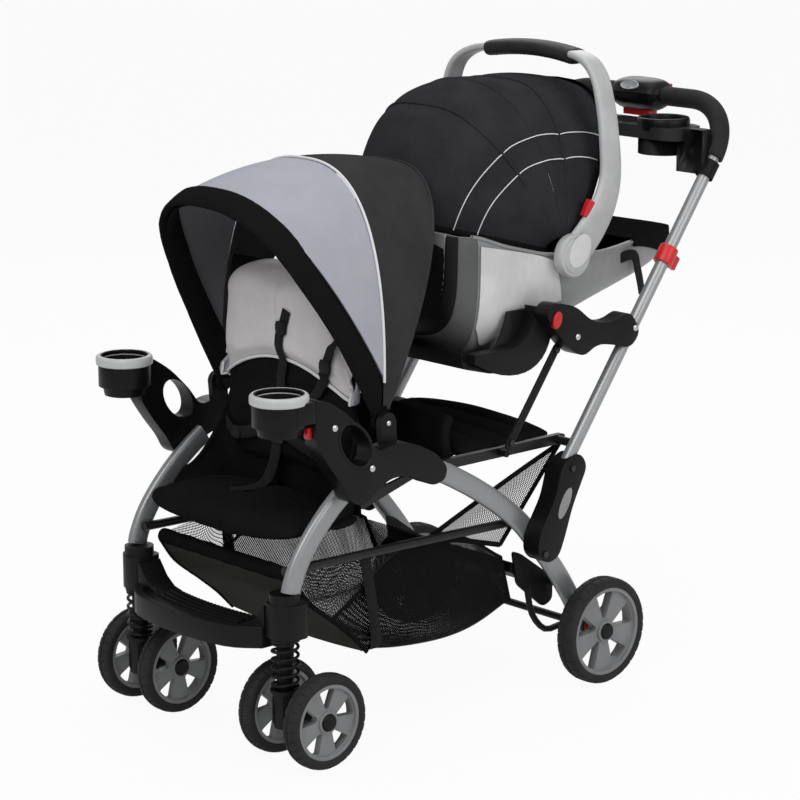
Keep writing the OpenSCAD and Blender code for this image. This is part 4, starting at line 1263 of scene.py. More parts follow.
@dataclass
class Carrier(SoftGoods):
    """Infant carrier: moulded bucket, quilted lining, hood with thin piping, and carrying handle."""

    arches: Arches = field(default_factory=lambda: Arches((151.0, 801.0)))
    # Rows of the hood: angle, height and half width of its arches
    rows: Outline = (
        (15, 279, 173), (36, 307, 179), (57, 323, 191), (76, 313, 199), (95, 305, 199), (124, 333, 196),
    )
    split: float = 76.2
    seams: tuple[float, ...] = (57.0, 93.0)
    # Stations of the bucket: place, half width, lowest point and rim
    stations: Outline = (
        (-113, 158, 700, 862), (-96, 176, 668, 858), (-58, 186, 622.3, 852), (0, 190, 622.3, 832),
        (44, 190, 622.3, 820), (110, 190, 640, 804), (190, 186, 664, 794), (280, 166, 684, 786),
        (370, 140, 698, 786), (450, 118, 712, 790), (505, 106, 732, 792), (534, 92, 762, 792),
    )
    wall: float = 7.0
    grip_half: float = 118.0
    # Arm of the handle: distance in from its plane, place, height and width
    handle_x: float = 210.6
    arm: Outline = (
        (0, 168, 812, 66), (0, 204, 846, 64), (0, 234, 888, 58), (0, 248, 935, 51), (2, 247, 995, 47),
        (8, 242, 1060, 44), (32, 245, 1118, 42), (92, 258, 1145, 42),
    )
    # Turned outlines: radius and place along X
    pin: Outline = ((0.01, 203.5), (7.4, 203.5), (8.0, 203), (8.0, 190), (0.01, 190))
    hub: Outline = (
        (0.01, 225.2), (29, 225.0), (31, 224.2), (32, 222.8), (36.5, 222.2), (39, 219.5), (39.5, 214),
        (39.5, 206), (38, 203.2), (9, 203.2), (9, 204), (0.01, 204),
    )
    # Bare plate on the hub: middle, half sizes and turn, then place along X and scale
    plate: tuple[float, ...] = (158, 810, 33, 24, 52)
    plate_layers: Outline = ((225.0, 1.0), (225.9, 1.0), (226.3, 0.95))
    strap: Outline = (
        (146, 348, 764), (147, 372, 768), (146, 388, 762), (143, 398, 740), (139, 410, 714), (134, 421, 690),
    )

    def build(self) -> None:
        """Make the bucket, the lining, the hood and the handle."""
        self.bucket()
        self.lining()
        self.hood()
        self.handle()
        self.dress(Looks.RED, "carrier_button_right", "carrier_button_left")
        self.dress(Looks.BINDING, "carrier_hood_bow")

    def ring(self, station: Grid, inset: float, count: int = 41, top: float = 0.0) -> Grid:
        """Section of the bucket at a station.

        Args:
            station: Place, half width, lowest point and rim.
            inset: Distance inside the outer face.
            count: Points of the section.
            top: Height of the section's ends above the rim.

        Returns:
            The points from rim to rim.
        """
        a = np.linspace(0, math.pi, count)
        y, half, low, rim = station
        rim = rim + top
        x = (half - inset) * power(np.cos(a), 0.5)
        z = rim + (low + inset - rim) * power(np.sin(a), 0.5)
        return np.stack([x, np.full(count, y), z], 1)

    def smooth_stations(self, steps: int = 4) -> Grid:
        """The stations with more between them."""
        return through(self.stations, steps)

    def bucket(self) -> None:
        """Grey bucket with a dark edge at the head, a black band of painted shade over the head end, and a
        rolled rim.
        """
        stations = self.smooth_stations()
        rows = np.stack([self.ring(s, 0.0) for s in stations])
        shell = Shape.lattice(rows)
        m = rows.shape[1]
        shell.faces += [tuple(range(m))[::-1], tuple((len(rows) - 1) * m + k for k in range(m))]
        obj = shell.to_object("carrier_bucket", False)
        self.outward(obj)
        baked(obj, thicken(self.wall), bevel(1.6, 2, 50.0))
        self.settle(obj, Looks.GREY, Body.CARRIER, "carrier_shell")
        # The black band over the head end is painted shade: a dark shell where the head end lies in shadow.
        # The dark grey band is the edge flange's own colour.
        bands = (
            ("carrier_head_end", -400, -92, 2.6, Looks.BLACK),
            ("carrier_head_edge", -99, -58, 3.4, Looks.GREY_DARK),
        )
        for name, low, high, grow, finish in bands:
            part = [s for s in self.smooth_stations(9) if low <= s[0] <= high]
            band = Shape.lattice(np.stack([self.ring(s + np.array([-1.0, 0, 0, 2.0]), -grow) for s in part]))
            if finish is Looks.BLACK:
                band.faces.append(tuple(range(41))[::-1])
            edge = band.to_object(name, False)
            self.outward(edge)
            baked(edge, thicken(grow + 1.5), subdivide())
            self.settle(edge, finish, Body.CARRIER)
        self.side_plates(obj)
        rim = np.array([[s[1] - 3, s[0], s[3] + 1] for s in stations if s[0] > -70])
        lip = Shape.sweep(rim, (1, 0, 0), 12.0, 7.0, 14, 0.7)
        self.pair("carrier_rim", lip, Looks.GREY, Body.CARRIER)
        pin = Shape.lathe(self.pin, (0, *self.arches.pivot), 32)
        self.pair("carrier_pivot", pin, Looks.GREY_DARK, Body.CARRIER)

    def side_plates(self, bucket: bpy.types.Object) -> None:
        """Bare pale plates on the bucket's sides.

        Args:
            bucket: The finished bucket.
        """
        top = through([(-54, 838), (20, 822), (80, 808), (132, 790)], 8)
        foot = through([(-54, 690), (-30, 655), (-4, 664), (14, 706)], 8)
        rest = np.linspace(0, 1, len(top))[:, None]
        for side in Side:
            v = np.linspace(0, 1, 17)[:, None, None]
            low = foot + (np.array([150.0, 716.0]) - foot) * np.clip((rest - 0.66) / 0.34, 0, 1) ** 1.2
            flat = low[None] + v * (top - low)[None]
            rows = np.concatenate([np.full((*flat.shape[:2], 1), 260.0), flat], 2)
            rows = self.laid(bucket, rows, (-1, 0, 0), 1.6)
            obj = Shape.lattice(rows[:, ::-1]).on(side).to_object(f"carrier_side_plate_{side.word}", False)
            self.settle(baked(obj, thicken(1.4)), Looks.PLATE, Body.CARRIER)

    def outward(self, obj: bpy.types.Object) -> None:
        """Turn an open bucket's faces outwards."""
        work = bmesh.new()
        work.from_mesh(obj.data)
        bmesh.ops.recalc_face_normals(work, faces=work.faces)
        low = min(work.faces, key=lambda f: f.calc_center_median().z)
        if low.normal.z > 0:
            bmesh.ops.reverse_faces(work, faces=work.faces)
        work.to_mesh(obj.data)
        work.free()

    def lining(self) -> None:
        """Quilted black lining, the foot's cover and a strap on each side."""
        stations = self.smooth_stations(5)[3:-2]
        rows = []
        for i, s in enumerate(stations):
            ring = self.ring(s, self.wall + 1.2, 45, -6.0)
            across = np.linspace(-1, 1, 45)
            quilt = 3.0 * np.abs(np.sin(across * 2.5 * math.pi)) * np.abs(math.sin(i * math.pi / 5))
            centre = np.array([0, s[0], s[3]])
            inward = centre - ring
            rows.append(ring + (6 + quilt[:, None]) * inward / np.linalg.norm(inward, axis=1)[:, None])
        obj = Shape.lattice(np.stack(rows)).to_object("carrier_lining", False)
        self.outward(obj)
        baked(obj, thicken(6.0, 1.0), subdivide())
        self.settle(obj, Looks.BLACK_CLOTH, Body.CARRIER, "carrier_pad", sharp=70.0)
        self.boot()
        web = Shape.sweep(through(self.strap, 5), (0, 0.7, 0.7), 20.0, 2.4, 8, 0.5)
        self.pair("carrier_strap", web, Looks.STRAP, Body.CARRIER)

    def boot(self) -> None:
        """Black cover drawn over the bucket's foot."""
        table, rows = self.smooth_stations(6), []
        arch = through([(1, 0), (1, 0.45), (1, 0.84), (0.985, 0.95), (0.93, 0.985), (0.5, 1.0), (0, 1.0)], 3)
        arch = np.concatenate([arch, arch[-2::-1] * (-1, 1)])
        for y in np.linspace(392, 536, 15):
            half, rim = np.interp(y, table[:, 0], table[:, 1]) + 4.5, np.interp(y, table[:, 0], table[:, 3])
            low = rim - 8 - 44 * ((y - 392) / 144) ** 1.4
            wave = 0.9 * np.sin(np.arange(37) / 3 + y / 13)
            height = low + (rim + 9 + wave - low) * arch[:, 1]
            rows.append(np.stack([half * arch[:, 0], np.full(37, y), height], 1))
        for share, step in ((0.96, 5.0), (0.84, 8.0)):
            rows.append((rows[14] - (0, 0, 765)) * (share, 1, share) + (0, step, 765))
        cover = Shape.lattice(np.stack(rows))
        cover.faces.append(tuple(range(16 * 37, 17 * 37)))
        obj = cover.to_object("carrier_boot", False)
        self.outward(obj)
        baked(obj, thicken(2.4), subdivide())
        self.settle(obj, Looks.BLACK_CLOTH, Body.CARRIER, sharp=70.0)

    def sheet(
        self, low: float, high: float, count: int, lift: float = 0.0, wide: int = 81,
    ) -> tuple[Grid, Grid, Grid]:
        """Grid of the hood between two angles.

        Args:
            low: First angle.
            high: Last angle.
            count: Rows.
            lift: Distance outside the cloth.
            wide: Points in a row.

        Returns:
            The points, their angles and their angles along the arch.
        """
        table = np.asarray(self.rows, float)
        phi = np.linspace(low, high, count)
        smooth = through(table, 12)
        radius, half = np.interp(phi, smooth[:, 0], smooth[:, 1]), np.interp(phi, smooth[:, 0], smooth[:, 2])
        t = self.arches.along(300.0, 31.0, wide)
        pull = sum(3.2 * np.exp(-(((phi - s) / 3.0) ** 2)) for s in self.seams)
        crease = 1.4 * np.sin(np.radians(t)[None] * 9 + phi[:, None] / 6) * np.sin(np.radians(t))[None] ** 2
        high_at, wide_at = (radius - pull)[:, None] + lift + crease, (half - 0.5 * pull + lift)[:, None]
        return self.arches.point(phi[:, None], high_at, wide_at, t[None]), phi, t

    def hood(self) -> None:
        """Hood cloths on both sides of the split, their piping and the bound edge."""
        start = self.arches.point(self.split, 300, 0, 90) * MM
        end = self.arches.point(121.0, 300, 0, 90) * MM
        cloths = (
            ("carrier_hood_head", 15.0, self.split, "carrier_hood_rear"),
            ("carrier_hood_fold", self.split, 124.0, "carrier_hood_front"),
        )
        for name, low, high, node in cloths:
            rows, _, _ = self.sheet(low, high, 33)
            shape = Shape.lattice(rows[:, ::-1])
            obj = self.cloth(name, shape, Looks.HOOD, Body.CARRIER, node, thickness=2.2, sharp=60.0)
            if low > 20:
                self.gather(obj, Body.CARRIER, Body.HOOD, start, end)
            for line, begin, settle in (("upper", 48.0, 39.0), ("lower", 35.0, 28.0)):
                for side in Side:
                    grid, phi, t = self.sheet(low, high, 41, 1.0, 161)
                    wanted = settle + (begin - settle) * np.clip((52 - phi) / 37, 0, 1) ** 1.4
                    at = [[np.interp(w, t, grid[i, :, c]) for c in range(3)] for i, w in enumerate(wanted)]
                    at = np.stack(at)
                    cord = Shape.sweep(at, (0, 0, 1), 2.0, 2.0, 8).on(side)
                    trim = self.piece(f"{name}_piping_{line}_{side.word}", cord, Looks.PIPING, Body.CARRIER)
                    if low > 20:
                        self.gather(trim, Body.CARRIER, Body.HOOD, start, end)
        ridges = (("head", self.seams[0], False), ("split", self.split, False), ("fold", self.seams[1], True))
        for name, at, folds in ridges:
            ridge, _, _ = self.sheet(at, at + 0.4, 2, -0.6 if name == "split" else 1.2, 121)
            bead = Shape.sweep(ridge[0, 14:-14], (0, 0.5, 0.8), 5.0, 4.0, 10)
            cord = self.piece(f"carrier_hood_seam_{name}", bead, Looks.HOOD, Body.CARRIER)
            if folds:
                self.gather(cord, Body.CARRIER, Body.HOOD, start, end)
        rim, _, _ = self.sheet(123.4, 123.9, 2, 0.6, 121)
        hem = Shape.sweep(rim[0], (0, 0.5, 0.8), 9.0, 5.0, 12)
        self.piece("carrier_hood_hem", hem, Looks.BINDING, Body.HOOD)
        back, _, _ = self.sheet(15.0, 15.6, 2, 0.0, 121)
        tail = Shape.sweep(back[0], (0, 0.3, 0.9), 12.0, 5.0, 12)
        self.piece("carrier_hood_tail", tail, Looks.BINDING, Body.CARRIER)

    def handle(self) -> None:
        """Carrying handle: flat arms that widen to the hubs, and a rubber grip."""
        half = [(self.handle_x - inset, *rest) for inset, *rest in self.arm]
        whole = half + [(0, 264, 1150, 42)] + [(-p[0], *p[1:]) for p in half[::-1]]
        line = through(whole, 8)
        arms = Shape.sweep(line[:, :3], (0, 1, 0), line[:, 3], 15.0, 28, 0.62)
        self.piece("carrier_handle_arms", arms, Looks.GREY_LIGHT, Body.HANDLE, "carrier_handle")
        u = np.linspace(-1, 1, 49)
        ribs = 1 + 0.03 * np.cos(u * 24 * math.pi) * (np.abs(u) < 0.86)
        ends = np.clip((1 - np.abs(u)) / 0.06, 0.55, 1)
        path = np.stack([self.grip_half * u, 264 - 5 * u**2, 1150 - 10 * u**2], 1)
        grip = Shape.sweep(path, (0, 1, 0), 50.0 * ends, 29.0 * ribs * ends, 24, 0.8)
        self.piece("carrier_grip", grip, Looks.RUBBER, Body.HANDLE)
        hub = Shape.lathe(self.hub, (0, *self.arches.pivot), 64)
        self.pair("carrier_handle_hub", hub, Looks.GREY_LIGHT, Body.HANDLE)
        plate = Shape.lattice(layered(ellipse(*self.plate), self.plate[:2], self.plate_layers), True, True)
        self.pair("carrier_hub_plate", plate, Looks.PLATE, Body.HANDLE)


class Repeat(Enum):
    """Small parts that are repeated by Geometry Nodes."""

    RIVET = "rivet"
    BOLT = "bolt"
    RIB = "rib"


@dataclass
class Repeater:
    """Geometry Nodes tree that sets one small part on many points, turned to face each point's direction.

    Attributes:
        kind: The small part.
        finish: Its finish.
    """

    kind: Repeat
    finish: Finish

    def tree(self) -> bpy.types.NodeTree:
        """Build the node tree with the inputs Length, Width and Height.

        Returns:
            The tree.
        """
        tree = bpy.data.node_groups.new(f"repeat_{self.kind.value}_{self.finish.name}", "GeometryNodeTree")
        tree.interface.new_socket("Points", in_out="INPUT", socket_type="NodeSocketGeometry")
        for name in ("Length", "Width", "Height"):
            tree.interface.new_socket(name, in_out="INPUT", socket_type="NodeSocketFloat")
        tree.interface.new_socket("Parts", in_out="OUTPUT", socket_type="NodeSocketGeometry")
        new, link = tree.nodes.new, tree.links.new
        source, target = new("NodeGroupInput"), new("NodeGroupOutput")
        size = new("ShaderNodeCombineXYZ")
        for slot, name in zip(size.inputs, ("Length", "Width", "Height")):
            link(source.outputs[name], slot)
        kinds = {Repeat.RIB: "Cube", Repeat.BOLT: "Cylinder", Repeat.RIVET: "UVSphere"}
        part = new("GeometryNodeMesh" + kinds[self.kind])
        shaped = new("GeometryNodeTransform")
        link(part.outputs["Mesh"], shaped.inputs["Geometry"])
        link(size.outputs[0], shaped.inputs["Scale"])
        if self.kind is Repeat.BOLT:
            part.inputs["Vertices"].default_value = 6
            part.inputs["Radius"].default_value = 0.5
            part.inputs["Depth"].default_value = 1.0
        elif self.kind is not Repeat.RIB:
            part.inputs["Segments"].default_value = 16
            part.inputs["Rings"].default_value = 10
            part.inputs["Radius"].default_value = 0.5
        facing, along = new("GeometryNodeInputNamedAttribute"), new("GeometryNodeInputNamedAttribute")
        for node, name in ((facing, "facing"), (along, "along")):
            node.data_type = "FLOAT_VECTOR"
            node.inputs["Name"].default_value = name
        up, turn = new("FunctionNodeAlignRotationToVector"), new("FunctionNodeAlignRotationToVector")
        up.axis, turn.axis, turn.pivot_axis = "Z", "X", "Z"
        link(facing.outputs["Attribute"], up.inputs["Vector"])
        link(up.outputs["Rotation"], turn.inputs["Rotation"])
        link(along.outputs["Attribute"], turn.inputs["Vector"])
        place = new("GeometryNodeInstanceOnPoints")
        link(source.outputs["Points"], place.inputs["Points"])
        link(shaped.outputs["Geometry"], place.inputs["Instance"])
        link(turn.outputs["Rotation"], place.inputs["Rotation"])
        real, cover = new("GeometryNodeRealizeInstances"), new("GeometryNodeSetMaterial")
        cover.inputs["Material"].default_value = self.finish.material()
        link(place.outputs["Instances"], real.inputs["Geometry"])
        link(real.outputs["Geometry"], cover.inputs["Geometry"])
        link(cover.outputs["Geometry"], target.inputs[0])
        return tree

    def spread(
        self, name: str, points: Grid, facing: Grid, along: Grid, size: Sequence[float],
    ) -> bpy.types.Object:
        """Set the part on points and keep the result as a plain mesh.

        Args:
            name: The new object's name.
            points: Where the parts go, in millimetres.
            facing: Direction of each part's height.
            along: Direction of each part's length.
            size: Length, width and height in millimetres.

        Returns:
            The new object.
        """
        mesh = bpy.data.meshes.new(name)
        mesh.from_pydata((np.asarray(points, float) * MM).tolist(), [], [])
        for key, value in (("facing", facing), ("along", along)):
            layer = mesh.attributes.new(key, "FLOAT_VECTOR", "POINT")
            whole = np.broadcast_to(np.asarray(value, np.float32), (len(points), 3))
            layer.data.foreach_set("vector", whole.ravel())
        obj = bpy.data.objects.new(name, mesh)
        bpy.context.scene.collection.objects.link(obj)
        modifier = obj.modifiers.new("repeat", "NODES")
        modifier.node_group = self.tree()
        wanted = dict(zip(("Length", "Width", "Height"), size))
        for item in modifier.node_group.interface.items_tree:
            if item.in_out == "INPUT" and item.name in wanted:
                modifier[item.identifier] = wanted[item.name] * MM
        return baked(obj)


@dataclass
class Chassis(SubAssembly):
    """Legs, armrests, cup holders, footrest, brackets, rails and platform."""

    leg_x: float = 212.0
    front_path: Outline = (
        (-362, 482), (-392, 462), (-430, 432), (-467, 394), (-494, 358), (-510, 325), (-516, 304.6),
    )
    rear_path: Outline = (
        (-238, 478), (-200, 468), (-155, 449), (-87, 411), (-27, 371), (25, 329), (63, 287), (102, 241),
        (136, 196), (170, 143), (190, 110),
    )
    hole: tuple[float, float, float, float, float] = (-409, 551, 43, 26, -52)
    cup: tuple[float, float, float] = (211, -536, 643)
    # Nodes kept in shape, with the width of their rounded edges
    edges: tuple[tuple[str, float], ...] = (
        ("castor_housings", 4.0), ("rear_axle", 1.2), ("standing_platform", 2.0), ("platform_struts", 1.6),
        ("carrier_cradle", 3.0), ("support_bars", 1.2),
    )
    # Walls of the cradle: outline, the point that it narrows to, then place along X and scale
    cradle: Outline = (
        (2, 716), (44, 716), (78, 712), (82, 668), (60, 630), (18, 611), (-40, 615), (-100, 641), (-60, 650),
        (-28, 657), (-10, 684), (2, 716),
    )
    cradle_middle: tuple[float, float] = (20, 660)
    cradle_layers: Outline = (
        (194.5, 0.01), (194.5, 0.98), (195.5, 1.0), (199.6, 1.0), (200.1, 0.98), (200.1, 0.01), (194.5, 0.01),
    )
    # Turned outlines: radius and place along the axis
    eye: Outline = ((7.4, 200.2), (19, 200.2), (20.6, 201.6), (20.6, 221.6), (19, 223), (7.4, 223))
    cup_ring: Outline = (
        (40.2, -4), (47.4, -8), (49.6, -6.6), (50.2, 0), (49.6, 5.6), (47.4, 8.4), (44.6, 9.4), (42, 8.8),
        (40.2, 6.6),
    )
    # Fasteners on the right side
    rivets: Outline = ((258.6, -455, 588), (258.6, -372, 505), (262, 118, 664), (262, 268, 660))
    bolts: Outline = ((227.9, -14, 485), (227.9, 98, 638), (262, 108, 424), (262, 40, 276))
    # Bare plate on the hinge bracket: middle, half sizes and turn, then place along X and scale
    plate: tuple[float, ...] = (90, 362, 30.0, 11.0, 62.0)
    plate_layers: Outline = ((261.6, 1.0), (262.9, 1.0), (263.3, 0.94))

    def build(self) -> None:
        """Make the legs and mouldings, and finish the rails."""
        self.legs()
        self.armrests()
        self.cups()
        self.footrest()
        self.brackets()
        for node, width in self.edges:
            self.rounded(node, Looks.BLACK, Body.CHASSIS, width)
        self.dress(Looks.BLACK_TUBE, "frame_rails")
        outline = through(self.cradle, 6)[:-1]
        wall = Shape.lattice(layered(outline, self.cradle_middle, self.cradle_layers), True)
        self.pair("cradle_wall", wall, Looks.BLACK, Body.CHASSIS)

    def legs(self) -> None:
        """Flat oval tubes of the front and rear legs, with an eye round the rear axle."""
        for side in Side:
            for name, path in (("front", self.front_path), ("rear", self.rear_path)):
                line = on_plane(through(path, 8), self.leg_x)
                tube = Shape.sweep(line, (1, 0, 0), 20.0, 38.0, 32, 0.72)
                nodes = [f"{name}_legs"] if side is Side.RIGHT else []
                self.piece(f"{name}_leg_{side.word}", tube.on(side), Looks.SILVER, Body.CHASSIS, *nodes)
        eye = Shape.lathe(self.eye, (0, 196, 100), 56)
        self.pair("axle_eye", eye, Looks.SILVER, Body.CHASSIS)

    def armrests(self) -> None:
        """Rounded armrests with a lip round the hand hole."""
        self.rounded("armrests", Looks.BLACK_SATIN, Body.CHASSIS, 6.0, 5)
        y, z, a, b, turn = self.hole
        t = np.linspace(0, 2 * math.pi, 73)
        c, s = math.cos(math.radians(turn)), math.sin(math.radians(turn))
        u, v = (a + 3) * np.cos(t), (b + 3) * np.sin(t)
        line = np.column_stack([np.full(73, 257.4), y + u * c - v * s, z + u * s + v * c])
        lip = Shape.sweep(line, (1, 0, 0), 5.0, 6.0, 12)
        self.pair("armrest_lip", lip, Looks.BLACK_SATIN, Body.CHASSIS)

    def cups(self) -> None:
        """Black cups with pale rolled rings."""
        cup = self.copy_of("cup_holders", "cup_walls", lambda size: size.z > 0.02)
        baked(cup, bevel(1.5))
        self.settle(cup, Looks.BLACK_SATIN, Body.CHASSIS, "cup_holders")
        self.pair("cup_ring", Shape.lathe(self.cup_ring, self.cup, 96, 2), Looks.PALE, Body.CHASSIS)
        for side in Side:
            self.rounded(f"cup_button_{side.word}", Looks.RED, f"cup_button_{side.word}", 1.5)

    def footrest(self) -> None:
        """Moulded footrest with fine grip ribs."""
        self.rounded("footrest", Looks.BLACK, Body.CHASSIS, 3.0)
        ribs = Repeater(Repeat.RIB, Looks.BLACK)
        u = np.linspace(-1, 1, 25)
        at = np.array([[112 * a, -556 + 13 * k + 10 * a * a, 240.2] for k in range(4) for a in u])
        way = np.array([[112, 20 * a, 0] for _ in range(4) for a in u])
        grip = ribs.spread("footrest_grip", at, (0, 0, 1), way, (6.0, 2.0, 1.4))
        self.settle(grip, Looks.BLACK, Body.CHASSIS)

    def brackets(self) -> None:
        """Seat brackets and hinge brackets with rivets, bolts and bare oval plates."""
        for node in ("hinge_brackets", "seat_brackets"):
            self.rounded(node, Looks.BLACK_SATIN, Body.CHASSIS, 4.0, 4)
        rivets, bolts = Repeater(Repeat.RIVET, Looks.STEEL), Repeater(Repeat.BOLT, Looks.DARK_STEEL)
        for side in Side:
            mirror, out = (side.value, 1, 1), (side.value, 0, 0)
            heads = np.array(self.rivets) * mirror
            heads = rivets.spread(f"rivets_{side.word}", heads, out, (0, 1, 0), (12.0, 12.0, 5.0))
            self.settle(heads, Looks.STEEL, Body.CHASSIS)
            nuts = np.array(self.bolts) * mirror
            nuts = bolts.spread(f"bolts_{side.word}", nuts, out, (0, 1, 0), (13.0, 13.0, 7.0))
            self.settle(nuts, Looks.DARK_STEEL, Body.CHASSIS)
            self.rounded(f"bracket_button_{side.word}", Looks.RED, f"bracket_button_{side.word}", 2.0)
        plate = Shape.lattice(layered(ellipse(*self.plate), self.plate[:2], self.plate_layers), True, True)
        self.pair("hinge_plate", plate, Looks.GREY, Body.CHASSIS)


@dataclass
class Wheels(SubAssembly):
    """Six wheels with moulded tyres and spoked rims, and the brake levers."""

    # Radius and width over the tyre
    front: tuple[float, float] = (84.0, 32.0)
    rear: tuple[float, float] = (100.0, 40.0)
    depth: float = 17.0

    def build(self) -> None:
        """Make each wheel in its place."""
        for side in Side:
            for twin in ("outer", "inner"):
                self.wheel(f"front_wheel_{side.word}_{twin}", *self.front)
            self.wheel(f"rear_wheel_{side.word}", *self.rear)
            self.rounded(f"brake_lever_{side.word}", Looks.RED, f"brake_lever_{side.word}", 2.0)

    def wheel(self, node: str, radius: float, width: float) -> None:
        """Tyre with a moulded tread and rounded rim of one wheel.

        Args:
            node: The wheel's node and body.
            radius: Radius over the tyre.
            width: Width of the tyre.
        """
        low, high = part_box(node)
        centre = [(low[i] + high[i]) / 2 / MM for i in range(3)]
        rim = self.copy_of(node, node + "_rim", lambda size: size.z < (2 * radius - 12) * MM)
        baked(rim, bevel(1.6))
        self.settle(rim, Looks.RIM, node, node)
        inner, h = radius - self.depth, width / 2
        half = [
            (inner, h - 2), (inner + 2.5, h - 0.8), (inner + 6, h - 0.2), (radius - 8, h - 0.1),
            (radius - 4, h - 1.8), (radius - 1.6, h - 5), (radius - 0.5, h - 9), (radius - 0.1, 5),
            (radius - 0.1, 3.2), (radius - 1.8, 2.4),
        ]
        profile = np.array(half + [(r, -x) for r, x in half[::-1]])
        steps, blocks = 240, 30
        tyre = Shape.lathe(profile, (0, 0, 0), steps)

        def cut(points: Grid) -> Grid:
            """Press the tread's cross grooves into the shoulders."""
            r = np.hypot(points[:, 1], points[:, 2])
            shift = np.where(points[:, 0] > 0, 0.0, 0.5)
            a = np.arctan2(points[:, 2], points[:, 1]) * blocks / 2 / math.pi + shift
            groove = (np.abs((a % 1.0) - 0.5) > 0.38) & (r > radius - 4.5) & (np.abs(points[:, 0]) > 4)
            new = np.where(groove, r - 1.7, r) / np.maximum(r, 1e-6)
            return points * np.column_stack([np.ones_like(new), new, new]) + np.array(centre)

        self.piece(node + "_tyre", tyre.moved(cut), Looks.TYRE, node, sharp=30.0)


@dataclass
class Castors(SubAssembly):
    """Sprung twin castors: post, coil spring, fork and axle."""

    x: float = 201.0
    y: float = -520.0
    low: float = 139.1
    high: float = 217.6
    coil: float = 22.2
    wire: float = 5.6
    turns: int = 6
    anchor: float = 0.2204

    def build(self) -> None:
        """Make the springs and finish the posts, forks and axles."""
        for side in Side:
            word = side.word
            u = np.linspace(0, 1, 48 * self.turns + 1)
            a = u * self.turns * 2 * math.pi
            flat = np.clip((u - 0.06) / 0.88, 0, 1)
            x, y = self.x + self.coil * np.cos(a), self.y + self.coil * np.sin(a)
            line = np.column_stack([x, y, self.low + (self.high - self.low) * flat])
            coil = Shape.sweep(line, (0, 0, 1), self.wire, self.wire, 12)
            spring = coil.on(side).to_object(f"castor_coil_{word}")
            self.settle(spring, Looks.BLACK_SATIN, f"castor_{word}", f"castor_spring_{word}")
            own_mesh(spring)
            self.rounded(f"castor_post_{word}", Looks.BLACK, f"castor_{word}", 1.2)
            self.rounded(f"castor_fork_{word}", Looks.BLACK, f"fork_{word}", 2.0)
            self.rounded(f"castor_axle_{word}", Looks.BLACK_SATIN, f"fork_{word}", 1.2)


@dataclass
class PushHandle(SubAssembly):
    """Push tube, foam, console, parent tray and red controls."""

    # Middle of the console and its outline round the push tube
    middle: tuple[float, float] = (556.0, 1042.2)
    outline: Outline = ((-41, 6), (-25, 26), (16, 30), (40, 12), (35, -19), (-4, -33), (-35, -17))
    wells: tuple[float, float] = (132.0, 474.0)
    well_ring: Outline = (
        (41.6, 996), (49.0, 996), (50.0, 1008), (49.2, 1013), (47.4, 1016), (45.2, 1016.6), (43, 1015),
        (41.6, 1010),
    )

    def build(self) -> None:
        """Finish the tube and its mouldings."""
        self.rounded("push_tube", Looks.TUBE, Body.CHASSIS, 0.5)
        self.dress(Looks.FOAM, "handle_foam")
        self.console()
        self.rounded("parent_tray", Looks.BLACK_SATIN, Body.CHASSIS, 3.0, 4)
        ring = Shape.lathe(self.well_ring, (*self.wells, 0), 80, 2)
        self.pair("tray_ring", ring, Looks.BLACK_SATIN, Body.CHASSIS)
        self.rounded("tube_clips", Looks.RED, Body.CHASSIS, 2.0)
        for node in ("fold_trigger", "fold_lock", "bench_latch"):
            self.rounded(node, Looks.RED, node, 2.0)

    def console(self) -> None:
        """Egg-shaped console with a collar at each end and a bare oval plate."""
        loop = through([*self.outline, self.outline[0]], 8)[:-1]
        x = np.concatenate([[-62, -61.5], np.linspace(-59, 59, 29), [61.5, 62]])
        swell = 0.52 + 0.48 * np.sqrt(np.clip(1 - (np.abs(x) / 57.5) ** 3.4, 0, 1))
        swell[[0, -1]] = 0.36
        rows = np.stack([on_plane(np.array(self.middle) + loop * s, a) for a, s in zip(x, swell)])
        shell = Shape.lattice(rows, True, True)
        self.piece("handle_console_shell", shell, Looks.BLACK_SATIN, Body.CHASSIS, "handle_console")
        a = np.linspace(0, 2 * math.pi, 48, endpoint=False)
        plate = []
        for lift, s in ((-3.0, 1.0), (3.2, 1.0), (4.0, 0.93), (3.4, 0.86), (3.4, 0.01)):
            v = 10.5 * s * np.sin(a)
            y = self.middle[0] - 33 + 0.62 * v - 0.78 * lift
            z = self.middle[1] + 17 + 0.78 * v + 0.62 * lift
            plate.append(np.column_stack([23 * s * np.cos(a), y, z]))
        self.piece("console_plate", Shape.lattice(np.stack(plate), True, True), Looks.SILVER, Body.CHASSIS)


